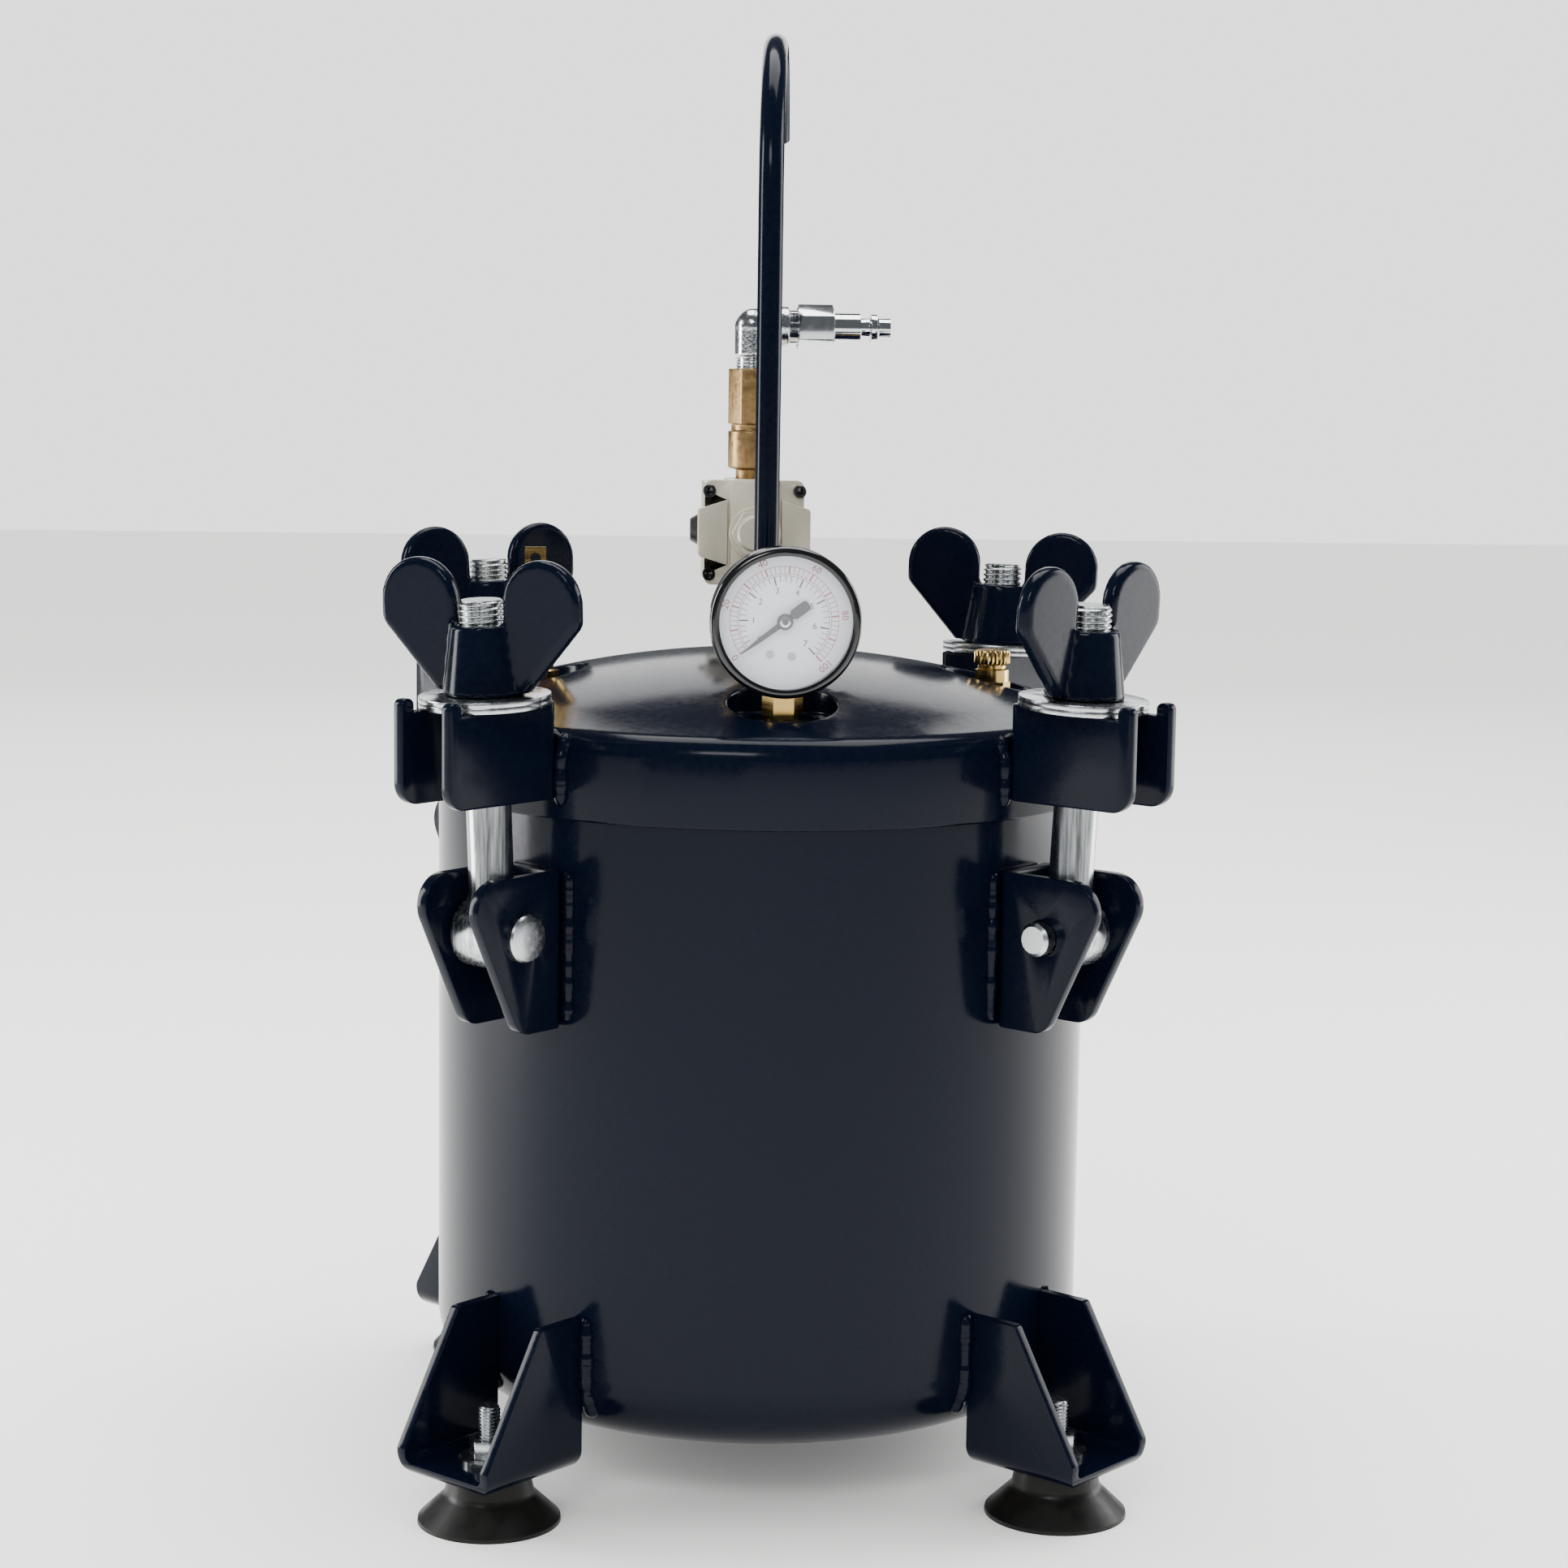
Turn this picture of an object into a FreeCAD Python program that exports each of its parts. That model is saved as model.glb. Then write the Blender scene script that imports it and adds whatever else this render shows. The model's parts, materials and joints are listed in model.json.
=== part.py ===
import FreeCAD, Part
import math
import os
import re

import Sketcher
from FreeCAD import Placement, Rotation, Vector

# Resin pressure pot, in millimetres. +Z is up, the origin is on the floor under the pot's axis, and the
# gauge faces -Y. Clamps and feet are drawn once in a station frame (x outward from the pot's axis, y along
# the rim, z up) and set round the axis at each station's angle. The swing bolts lean outward, so a clamp
# frame stands on the clevis pin with its z along the bolt.

DIMENSIONS = {
    # pot
    "pot_radius": 123, "pot_wall": 3, "rim_height": 277, "knuckle_radius": 25, "knuckle_height": 51.5,
    "crown_radius": 500,
    # lid
    "lid_radius": 125.6, "lid_wall": 2.2, "skirt_bottom": 252.5, "skirt_top": 276.5, "shoulder_radius": 118,
    "shoulder_height": 284.6, "dome_edge_radius": 113, "dome_radius": 366,
    "dome_height": 304, "recess_radius": 19.5, "recess_floor": 287.5, "fitting_circle": 87,
    "gasket_inner": 115.5, "gasket_outer": 122.3, "gasket_height": 4, "bung_radius": 11, "bung_length": 14,
    "bung_bore": 6.5,
    # clamps
    "pin_reach": 143.5, "pin_height": 213, "bolt_lean": 3.05, "seat_height": 293.5, "pin_radius": 6,
    "pin_head_radius": 8.5, "pin_head": 3, "pin_gap": 0.06, "eye_radius": 12.5, "eye_width": 20,
    "bolt_radius": 8, "bolt_length": 117.4, "lug_half": 14, "lug_plate": 4.5, "lug_reach": 178,
    "lug_bottom": 260, "lug_top": 296.9, "nose_reach": 171.9, "ear_half": 15.2, "ear_plate": 4.5,
    "ear_reach": 172.5, "ear_low_reach": 145.3, "ear_bottom": 178.5, "ear_top": 234.5,
    "washer_radius": 23, "washer_bore": 8.6, "washer_plate": 2, "nut_base_radius": 14.5,
    "nut_top_radius": 11, "nut_height": 24.3, "nut_gap": 0.05, "wing_reach": 39.5, "lobe_radius": 15,
    "lobe_height": 32, "wing_plate": 6, "wing_edge": 1.9,
    # feet
    "foot_circle": 144.75, "foot_half": 23, "foot_plate": 4, "foot_floor": 18, "foot_top": 73.6,
    "foot_reach": 168.5, "foot_top_reach": 141.5, "foot_inner": 119.5, "cup_radius": 25.7,
    "cup_neck_radius": 14.5, "foot_stud_radius": 4, "foot_stud_top": 42, "foot_nut_flats": 13,
    "foot_washer_radius": 11,
    # handle
    "bar_radius": 4.7, "bar_bottom": 304.02, "bar_top": 474, "hook_radius": 59.5, "hook_turn": 153,
    "hook_heading": 354.5,
    # gauge
    "gauge_back": -75, "gauge_height": 322.3, "case_radius": 25.6, "case_depth": 20, "case_wall": 1.3,
    "bezel_radius": 26.7, "bezel_depth": 25.6, "window_radius": 23.4, "dial_radius": 24.1,
    "dial_level": 15.5, "needle_level": 18, "needle_reach": 20.5, "dial_roll": 5, "dial_sweep": 264,
    # regulator and inlet
    "regulator_width": 44.7, "regulator_depth": 34, "regulator_bottom": 323.5, "regulator_tall": 41.6,
    "regulator_front": 67, "cover_plate": 6, "port_radius": 11, "cap_round": 10.35, "bonnet_radius": 20,
    "knob_radius": 17, "band_half": 9.6, "band_gap": 1.3, "pad_proud": 2.2, "neck_radius": 6.4,
    "cap_flats": 16.4, "plug_thread": 5, "side_plug_radius": 7.5, "nipple_flats": 16, "coupling_body": 9.6,
    "coupling_groove": 8.4, "coupling_flats": 17, "coupling_hex_low": 21.8, "coupling_hex_tall": 22,
    "elbow_radius": 7.3, "elbow_rise": 60.6, "elbow_collar": 8.3, "barrel_radius": 6, "nose_radius": 4,
    "nose_ridge": 5.65, "nose_tip": 4.1, "air_bore": 2.6, "quick_flats": 15.9,
    # valves
    "bleed_body": 6.5, "bleed_neck": 5.3, "bleed_thread": 3.4, "bleed_cap": 6.95, "bleed_flats": 12.4,
    "safety_body": 7, "safety_barrel": 8, "safety_flats": 16, "vent_radius": 1.4, "stem_radius": 2.35,
    "tag_wide": 8, "tag_thick": 2.2, "tag_tall": 9.4, "tag_hole": 2,
}

STATIONS = {"front_left": 225, "front_right": 315, "back_right": 45, "back_left": 135}
# each wing nut stopped at its own angle, measured from the row's +X
WING_HEADINGS = {"front_left": -31, "front_right": 44, "back_right": -18, "back_left": 30}

CELL_NAME = re.compile(r"[a-z][a-z0-9_]*")
X, Y, Z = Vector(1, 0, 0), Vector(0, 1, 0), Vector(0, 0, 1)
UPRIGHT = Rotation()
TOWARDS_VIEWER = Rotation(X, 90)   # a lathe axis turned to -Y
AWAY = Rotation(X, -90)            # to +Y
RIGHTWARDS = Rotation(Y, 90)       # to +X
LEFTWARDS = Rotation(Y, -90)       # to -X

doc = FreeCAD.newDocument("resin_pressure_pot")
sheet = doc.addObject("Spreadsheet::Sheet", "dims")
for row, (alias, value) in enumerate(DIMENSIONS.items(), 1):
    sheet.set(f"A{row}", alias)
    sheet.set(f"B{row}", str(value))
    sheet.setAlias(f"B{row}", alias)
doc.recompute()


def bound(formula):
    """A formula over the sheet's names, as an expression that any object can read."""
    return CELL_NAME.sub(lambda m: f"dims.{m[0]}" if m[0] in DIMENSIONS else m[0], str(formula))


def size(formula):
    return float(sheet.evalExpression(bound(formula)))


def tie(item, **sizes):
    """Bind an object's sizes to formulas over the sheet."""
    for name, formula in sizes.items():
        item.setExpression(name, bound(formula))
    return item


def put(item, at=(0, 0, 0), turn=UPRIGHT):
    """Place an object: the turn is fixed and each coordinate is bound to its formula."""
    item.Placement = Placement(Vector(*(size(c) for c in at)), turn)
    for axis, formula in zip("xyz", at):
        item.setExpression(f"Placement.Base.{axis}", bound(formula))
    return item


# --- sketches -------------------------------------------------------------------------------------------

def locate(sketch, geometry, point, x, y):
    """Fix a point of a sketch at two formulas."""
    for kind, formula, own_axis in (("DistanceX", x, -2), ("DistanceY", y, -1)):
        if abs(size(formula)) < 1e-9:
            sketch.addConstraint(Sketcher.Constraint("PointOnObject", geometry, point, own_axis))
            continue
        rule = Sketcher.Constraint(kind, -1, 1, geometry, point, size(formula))
        sketch.setExpression(f"Constraints[{sketch.addConstraint(rule)}]", bound(formula))


def bend(sketch, geometry, radius):
    index = sketch.addConstraint(Sketcher.Constraint("Radius", geometry, abs(size(radius))))
    sketch.setExpression(f"Constraints[{index}]", bound(radius))


def add_arc(sketch, centre, radius, start, end, leftward):
    """Add an arc from start to end; return its start and end points as (geometry, point)."""
    first, last = (start, end) if leftward else (end, start)
    angles = [math.atan2(p.y - centre.y, p.x - centre.x) for p in (first, last)]
    index = sketch.addGeometry(Part.ArcOfCircle(Part.Circle(centre, Z, radius), *angles))
    return ((index, 1), (index, 2)) if leftward else ((index, 2), (index, 1))


def outline(sketch, corners):
    """Draw a closed outline. A corner is (x, y), (x, y, "round", radius), or (x, y, "left" or "right",
    radius), where the edge that leaves the corner is an arc that turns that way."""
    count = len(corners)
    points = [Vector(size(c[0]), size(c[1]), 0) for c in corners]
    arrive, leave, rounds = list(points), list(points), {}
    for i, corner in enumerate(corners):
        if corner[2:3] != ("round",):
            continue
        back = (points[i - 1] - points[i]).normalize()
        ahead = (points[(i + 1) % count] - points[i]).normalize()
        half = back.getAngle(ahead) / 2
        radius = size(corner[3])
        arrive[i] = points[i] + back * (radius / math.tan(half))
        leave[i] = points[i] + ahead * (radius / math.tan(half))
        centre = points[i] + (back + ahead).normalize() * (radius / math.sin(half))
        rounds[i] = (centre, radius, back.cross(ahead).z < 0)
    starts, ends = {}, {}
    for i, corner in enumerate(corners):
        a, b = leave[i], arrive[(i + 1) % count]
        if corner[2:3] in (("left",), ("right",)):
            leftward, radius = corner[2] == "left", size(corner[3])
            side = Z.cross(b - a).normalize() * (1 if leftward else -1)
            centre = (a + b) * 0.5 + side * math.sqrt(radius ** 2 - ((b - a).Length / 2) ** 2)
            starts[i], ends[i] = add_arc(sketch, centre, radius, a, b, leftward)
            bend(sketch, starts[i][0], corner[3])
        else:
            index = sketch.addGeometry(Part.LineSegment(a, b))
            starts[i], ends[i] = (index, 1), (index, 2)
    for i, corner in enumerate(corners):
        before, after = ends[(i - 1) % count], starts[i]
        if i not in rounds:
            sketch.addConstraint(Sketcher.Constraint("Coincident", *before, *after))
            locate(sketch, *after, corner[0], corner[1])
            continue
        centre, radius, leftward = rounds[i]
        first, last = add_arc(sketch, centre, radius, arrive[i], leave[i], leftward)
        sketch.addConstraint(Sketcher.Constraint("Tangent", *before, *first))
        sketch.addConstraint(Sketcher.Constraint("Tangent", *last, *after))
        bend(sketch, first[0], corner[3])
        tip = sketch.addGeometry(Part.Point(points[i]), True)
        sketch.addConstraint(Sketcher.Constraint("PointOnObject", tip, 1, before[0]))
        sketch.addConstraint(Sketcher.Constraint("PointOnObject", tip, 1, after[0]))
        locate(sketch, tip, 1, corner[0], corner[1])


def sketched(name, role, corners):
    """A new body with one sketch on one of its own origin planes."""
    body = doc.addObject("PartDesign::Body", name)
    sketch = body.newObject("Sketcher::SketchObject", f"{name}_sketch")
    plane = next(f for f in body.Origin.OriginFeatures if f.Role == role)
    sketch.AttachmentSupport = [(plane, "")]
    sketch.MapMode = "FlatFace"
    outline(sketch, corners)
    return body, sketch


def turned(name, corners):
    """A lathe piece: the outline is (radius, length along z)."""
    body, sketch = sketched(name, "XZ_Plane", corners)
    turn = body.newObject("PartDesign::Revolution", f"{name}_turn")
    turn.Profile = sketch
    turn.ReferenceAxis = (sketch, ["V_Axis"])
    turn.Angle = 360
    return body


def padded(name, role, corners, length, side="One side"):
    """A plate or bar: an outline on an origin plane, raised to a length."""
    body, sketch = sketched(name, role, corners)
    pad = body.newObject("PartDesign::Pad", f"{name}_pad")
    pad.Profile = sketch
    pad.SideType = side
    tie(pad, Length=length)
    return body


# --- primitives and booleans ----------------------------------------------------------------------------

def rod(name, radius, length, at=(0, 0, 0), turn=UPRIGHT):
    return put(tie(doc.addObject("Part::Cylinder", name), Radius=radius, Height=length), at, turn)


def cone(name, radius, end_radius, length, at=(0, 0, 0), turn=UPRIGHT):
    item = tie(doc.addObject("Part::Cone", name), Radius1=radius, Radius2=end_radius, Height=length)
    return put(item, at, turn)


def block(name, length, width, height, at):
    """A box, placed by its lowest corner."""
    return put(tie(doc.addObject("Part::Box", name), Length=length, Width=width, Height=height), at)


def hexagon(name, flats, length, at=(0, 0, 0), turn=UPRIGHT):
    item = doc.addObject("Part::Prism", name)
    item.Polygon = 6
    return put(tie(item, Circumradius=f"({flats}) / sqrt(3)", Height=length), at, turn)


def fuse(name, *items):
    item = doc.addObject("Part::MultiFuse", name)
    item.Shapes = list(items)
    return item


def common(name, *items):
    item = doc.addObject("Part::MultiCommon", name)
    item.Shapes = list(items)
    return item


def cut(name, base, *tools):
    item = doc.addObject("Part::Cut", name)
    item.Base = base
    item.Tool = tools[0] if len(tools) == 1 else fuse(f"{name}_tools", *tools)
    return item


def group(name, *items):
    """Separate solids that share one name."""
    item = doc.addObject("Part::Compound", name)
    item.Links = list(items)
    return item


def copied(name, master, place):
    item = group(name, master)
    item.Placement = place
    return item


def softened(name, base, radius, chosen):
    """Round the chosen edges of a finished shape."""
    doc.recompute()
    item = doc.addObject("Part::Fillet", name)
    item.Base = base
    r = size(radius)
    item.Edges = [(i, r, r) for i, edge in enumerate(base.Shape.Edges, 1) if chosen(edge)]
    return item


def station(angle):
    return Placement(Vector(), Rotation(Z, angle))


def clamp_frame(angle, along, spin=0):
    """A place on a leaning swing bolt, at a distance along it from the clevis pin."""
    foot = Placement(Vector(size("pin_reach"), 0, size("pin_height")), Rotation(Y, size("bolt_lean")))
    return station(angle) * foot * Placement(Vector(0, 0, along), Rotation(Z, spin))


# --- pot and lid ----------------------------------------------------------------------------------------

def dished(inset):
    """The pot's outline below the rim, drawn in from the outside by an inset: knuckle, then crown."""
    knuckle, crown = f"(knuckle_radius - {inset})", f"(crown_radius - {inset})"
    centre = "(pot_radius - knuckle_radius)"
    reach = "(crown_radius - knuckle_radius)"
    drop = f"sqrt({reach}^2 - {centre}^2)"
    join_x = f"{crown} * {centre} / {reach}"
    join_y = f"knuckle_height + {drop} - {crown} * {drop} / {reach}"
    return knuckle, crown, join_x, join_y, f"knuckle_height + {drop} - {crown}"


def make_pot():
    knuckle, crown, join_x, join_y, low = dished("0")
    inner_knuckle, inner_crown, inner_x, inner_y, inner_low = dished("pot_wall")
    turned("pot_shell", [
        (0, low, "left", crown), (join_x, join_y, "left", knuckle), ("pot_radius", "knuckle_height"),
        ("pot_radius", "rim_height"), ("pot_radius - pot_wall", "rim_height"),
        ("pot_radius - pot_wall", "knuckle_height", "right", inner_knuckle),
        (inner_x, inner_y, "right", inner_crown), (0, inner_low)])


def make_lid():
    rise = "dome_height - dome_radius + sqrt(dome_radius^2 - dome_edge_radius^2)"
    inner_sphere = "(dome_radius - lid_wall)"
    inner_rise = f"dome_height - dome_radius + sqrt({inner_sphere}^2 - dome_edge_radius^2)"
    outside = turned("lid_form", [
        (0, "skirt_bottom"), ("lid_radius", "skirt_bottom"),
        ("lid_radius", "skirt_top", "left", "shoulder_height - skirt_top + 0.4"),
        ("shoulder_radius", "shoulder_height"), ("dome_edge_radius", rise, "left", "dome_radius"),
        (0, "dome_height")])
    inner = "(lid_radius - lid_wall)"
    hollow = turned("lid_hollow", [
        (0, "skirt_bottom - 1"), (inner, "skirt_bottom - 1"), (inner, "skirt_top + 0.5", "round", "2"),
        ("shoulder_radius - 0.3", "shoulder_height - lid_wall"),
        ("dome_edge_radius", inner_rise, "left", inner_sphere), (0, "dome_height - lid_wall")])
    cups, recesses, bores, bungs = [], [], [], []
    for i in range(4):
        at = (f"fitting_circle * {round(math.cos(i * math.pi / 2))}",
              f"fitting_circle * {round(math.sin(i * math.pi / 2))}")
        below = "recess_floor - lid_wall"
        cups.append(rod(f"cup_{i}", "recess_radius + lid_wall", 40, (*at, below)))
        recesses.append(rod(f"recess_{i}", "recess_radius", 40, (*at, "recess_floor")))
        bores.append(rod(f"floor_bore_{i}", "bung_bore", 20, (*at, "recess_floor - 10")))
        ring = rod(f"bung_ring_{i}", "bung_radius", "bung_length", (*at, f"{below} - bung_length"))
        bungs.append(cut(f"bung_{i}", ring, rod(f"bung_bore_{i}", "bung_bore", 40,
                                                (*at, f"{below} - 30"))))
    cut("lid_shell", outside, cut("lid_room", hollow, *cups), *recesses, *bores)
    group("lid_bungs", *bungs)
    turned("lid_gasket", [
        ("gasket_inner", "rim_height"), ("gasket_outer", "rim_height"),
        ("shoulder_radius + 0.5", "rim_height + gasket_height"),
        ("gasket_inner", "rim_height + gasket_height")])


def make_handle():
    bar = rod("hook_bar", "bar_radius", "bar_top - bar_bottom", (0, 0, "bar_bottom"))
    arc = doc.addObject("Part::Torus", "hook_arc")
    tie(arc, Radius1="hook_radius", Radius2="bar_radius", Angle3="hook_turn")
    put(arc, (0, "hook_radius", "bar_top"), hook_rotation())
    whole = fuse("hook_form", bar, arc)
    copied("handle_hook", whole, Placement(Vector(), Rotation(Z, size("hook_heading"))))


def hook_rotation():
    """Turns a ring from the XY plane so that it starts at -Y and climbs over the top to +Y."""
    return Rotation(Vector(0, -1, 0), Vector(0, 0, 1), Vector(-1, 0, 0), "XYZ")


# --- clamps ---------------------------------------------------------------------------------------------

def u_plan(inner, web, half, plate, reach, corner):
    """A U channel seen from above: a web near the axis and two plates running outward."""
    return [
        (inner, f"-{half}", "round", corner), (reach, f"-{half}"), (reach, f"{plate} - {half}"),
        (web, f"{plate} - {half}"), (web, f"{half} - {plate}"), (reach, f"{half} - {plate}"),
        (reach, half), (inner, half, "round", corner)]


def make_lugs():
    inner = "(lid_radius + 0.05)"
    seat_reach = "(pin_reach + (seat_height - pin_height) * tan(bolt_lean))"
    plan = padded("lug_plan", "XY_Plane", u_plan(inner, f"{inner} + lug_plate", "lug_half", "lug_plate",
                                                 "lug_reach", "4"), 400)
    side = padded("lug_side", "XZ_Plane", [
        (inner, "lug_bottom"), ("lug_reach", "lug_bottom", "round", 8),
        ("lug_reach", "lug_top", "round", 2.5),
        ("nose_reach", "lug_top", "round", 2.5),
        ("nose_reach", f"seat_height - (nose_reach - {seat_reach}) * tan(bolt_lean)"),
        (inner, f"seat_height + ({seat_reach} - {inner}) * tan(bolt_lean)")], 80, "Symmetric")
    lug = common("lug_form", plan, side)
    for name, angle in STATIONS.items():
        copied(f"lid_lug_{name}", lug, station(angle))


def make_clamp_brackets():
    inner = "(pot_radius + 0.05)"
    plan = padded("ear_plan", "XY_Plane", u_plan(inner, f"{inner} + ear_plate", "ear_half", "ear_plate",
                                                 "ear_reach", "5"), 400)
    side = padded("ear_side", "XZ_Plane", [
        (inner, "ear_bottom"), ("ear_low_reach", "ear_bottom", "round", 8),
        ("ear_reach", "ear_top", "round", 11), (inner, "ear_top")], 80, "Symmetric")
    bore = rod("ear_bore", "pin_radius + pin_gap", 60, ("pin_reach", -30, "pin_height"), AWAY)
    bracket = cut("ear_bracket", common("ear_form", plan, side), bore)
    for name, angle in STATIONS.items():
        copied(f"clamp_bracket_{name}", bracket, station(angle))


def make_clevis_pins():
    at = ("pin_reach", "-ear_half - 5.5", "pin_height")
    shank = rod("pin_shank", "pin_radius", "2 * ear_half + 5.5 + pin_gap", at, AWAY)
    head = rod("pin_head_disc", "pin_head_radius", "pin_head",
               ("pin_reach", "ear_half + pin_gap", "pin_height"), AWAY)
    pin = fuse("pin_form", shank, head)
    group("clevis_pins", *(copied(f"clevis_pin_{name}", pin, station(angle))
                           for name, angle in STATIONS.items()))


def make_swing_bolts():
    eye = rod("bolt_eye", "eye_radius", "eye_width", (0, "-eye_width / 2", 0), AWAY)
    shank = turned("bolt_shank", [
        (0, 0), ("bolt_radius", 0), ("bolt_radius", "bolt_length - 1.2"),
        ("bolt_radius - 1.2", "bolt_length"), (0, "bolt_length")])
    bore = rod("bolt_bore", "pin_radius + pin_gap", 40, (0, -20, 0), AWAY)
    bolt = cut("bolt_form", fuse("bolt_blank", eye, shank), bore)
    for name, angle in STATIONS.items():
        copied(f"swing_bolt_{name}", bolt, clamp_frame(angle, 0))


def make_washers():
    washer = cut("washer_form", rod("washer_disc", "washer_radius", "washer_plate"),
                 rod("washer_hole", "washer_bore", "washer_plate * 3", (0, 0, "-washer_plate")))
    seat = seat_along()
    plate = size("washer_plate")
    lower = [copied(f"lower_washer_{name}", washer, clamp_frame(angle, seat))
             for name, angle in STATIONS.items()]
    group("lower_washers", *lower)
    for name, angle in STATIONS.items():
        copied(f"upper_washer_{name}", washer, clamp_frame(angle, seat + plate))


def seat_along():
    """How far up the bolt the lugs' seat is, from the clevis pin."""
    return size("(seat_height - pin_height) / cos(bolt_lean)")


def make_wing_nuts():
    hub = cone("nut_hub", "nut_base_radius", "nut_top_radius", "nut_height")
    lobe_x = "(wing_reach - lobe_radius)"
    wing = padded("wing_plate_form", "XZ_Plane", [
        ("bolt_radius + 1", 2), ("nut_base_radius + 3.5", 0.8), ("wing_reach", 24.5, "round", 5),
        ("wing_reach", "lobe_height", "left", "lobe_radius"),
        (lobe_x, "lobe_height + lobe_radius", "left", "lobe_radius"),
        (f"{lobe_x} - lobe_radius", "lobe_height")], "wing_plate", "Symmetric")

    def outer_rim(edge):
        face_side = abs(abs(edge.CenterOfMass.y) - size("wing_plate / 2")) < 0.01
        low_inner = edge.BoundBox.XMax < size("nut_base_radius + 4") and edge.BoundBox.ZMax < 35
        return face_side and not low_inner
    rounded = softened("wing_form", wing, "wing_edge", outer_rim)
    bore = rod("nut_bore", "bolt_radius + nut_gap", 60, (0, 0, -10))
    nut = cut("nut_form", fuse("nut_blank", hub, rounded,
                               copied("wing_form_back", rounded, Placement(Vector(), Rotation(Z, 180)))),
              bore)
    base = seat_along() + size("2 * washer_plate")
    for name, angle in STATIONS.items():
        copied(f"wing_nut_{name}", nut, clamp_frame(angle, base, WING_HEADINGS[name] - angle))


# --- feet -----------------------------------------------------------------------------------------------

def make_feet():
    section = padded("foot_section", "YZ_Plane", [
        ("-foot_half", "foot_top + 5"), ("-foot_half", "foot_floor", "round", 7),
        ("foot_half", "foot_floor", "round", 7), ("foot_half", "foot_top + 5"),
        ("foot_half - foot_plate", "foot_top + 5"),
        ("foot_half - foot_plate", "foot_floor + foot_plate", "round", 3),
        ("foot_plate - foot_half", "foot_floor + foot_plate", "round", 3),
        ("foot_plate - foot_half", "foot_top + 5")], 200)
    side = padded("foot_side", "XZ_Plane", [
        ("foot_inner", "foot_floor"), ("foot_reach - 1.5", "foot_floor", "round", 4),
        ("foot_reach", "foot_floor + 9", "round", 5), ("foot_top_reach", "foot_top", "round", 2),
        ("foot_inner", "foot_top")], 100, "Symmetric")
    pot = rod("foot_pot", "pot_radius + 0.05", 200)
    at = ("foot_circle", 0)
    hole = rod("foot_hole", "foot_stud_radius + 0.25", 60, (*at, 0))
    bracket = cut("foot_form", common("foot_blank", section, side), pot, hole)
    cup = put(turned("cup_profile", [
        (0, 8.5), (8, 8.5), ("cup_radius - 1.4", 0), ("cup_radius", 0), ("cup_radius - 0.2", 1.4),
        ("cup_neck_radius + 1.6", 10.5, "round", 4), ("cup_neck_radius", "foot_floor"),
        (0, "foot_floor")]), (*at, 0))
    cup_bore = rod("cup_bore", "foot_stud_radius", 20, (*at, 11))
    foot = cut("cup_form", cup, cup_bore)
    top = "(foot_floor + foot_plate)"
    stud = fuse("stud_form", rod("stud_shank", "foot_stud_radius", "foot_stud_top - 12", (*at, 11)),
                cone("stud_tip", "foot_stud_radius", "foot_stud_radius - 1", 1, (*at, "foot_stud_top - 1")))
    clear = rod("stud_clear", "foot_stud_radius + 0.05", 60, (*at, 0))
    washer = cut("foot_washer_form", rod("foot_washer_disc", "foot_washer_radius", 1.6, (*at, top)), clear)
    nut = cut("foot_nut_form", hexagon("foot_nut_hex", "foot_nut_flats", 6.5, (*at, f"{top} + 1.6")), clear)
    for name, angle in STATIONS.items():
        copied(f"foot_bracket_{name}", bracket, station(angle))
        copied(f"suction_foot_{name}", foot, station(angle))
    for label, form in (("foot_studs", stud), ("foot_washers", washer), ("foot_nuts", nut)):
        group(label, *(copied(f"{label}_{name}", form, station(angle)) for name, angle in STATIONS.items()))


# --- gauge ----------------------------------------------------------------------------------------------

def gauge_place(name, item, roll=0):
    """Set a piece drawn on the gauge's own axis (z towards the viewer) at the gauge."""
    turn = TOWARDS_VIEWER * Rotation(Z, roll)
    return copied(name, item, Placement(Vector(0, size("gauge_back"), size("gauge_height")), turn))


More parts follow.
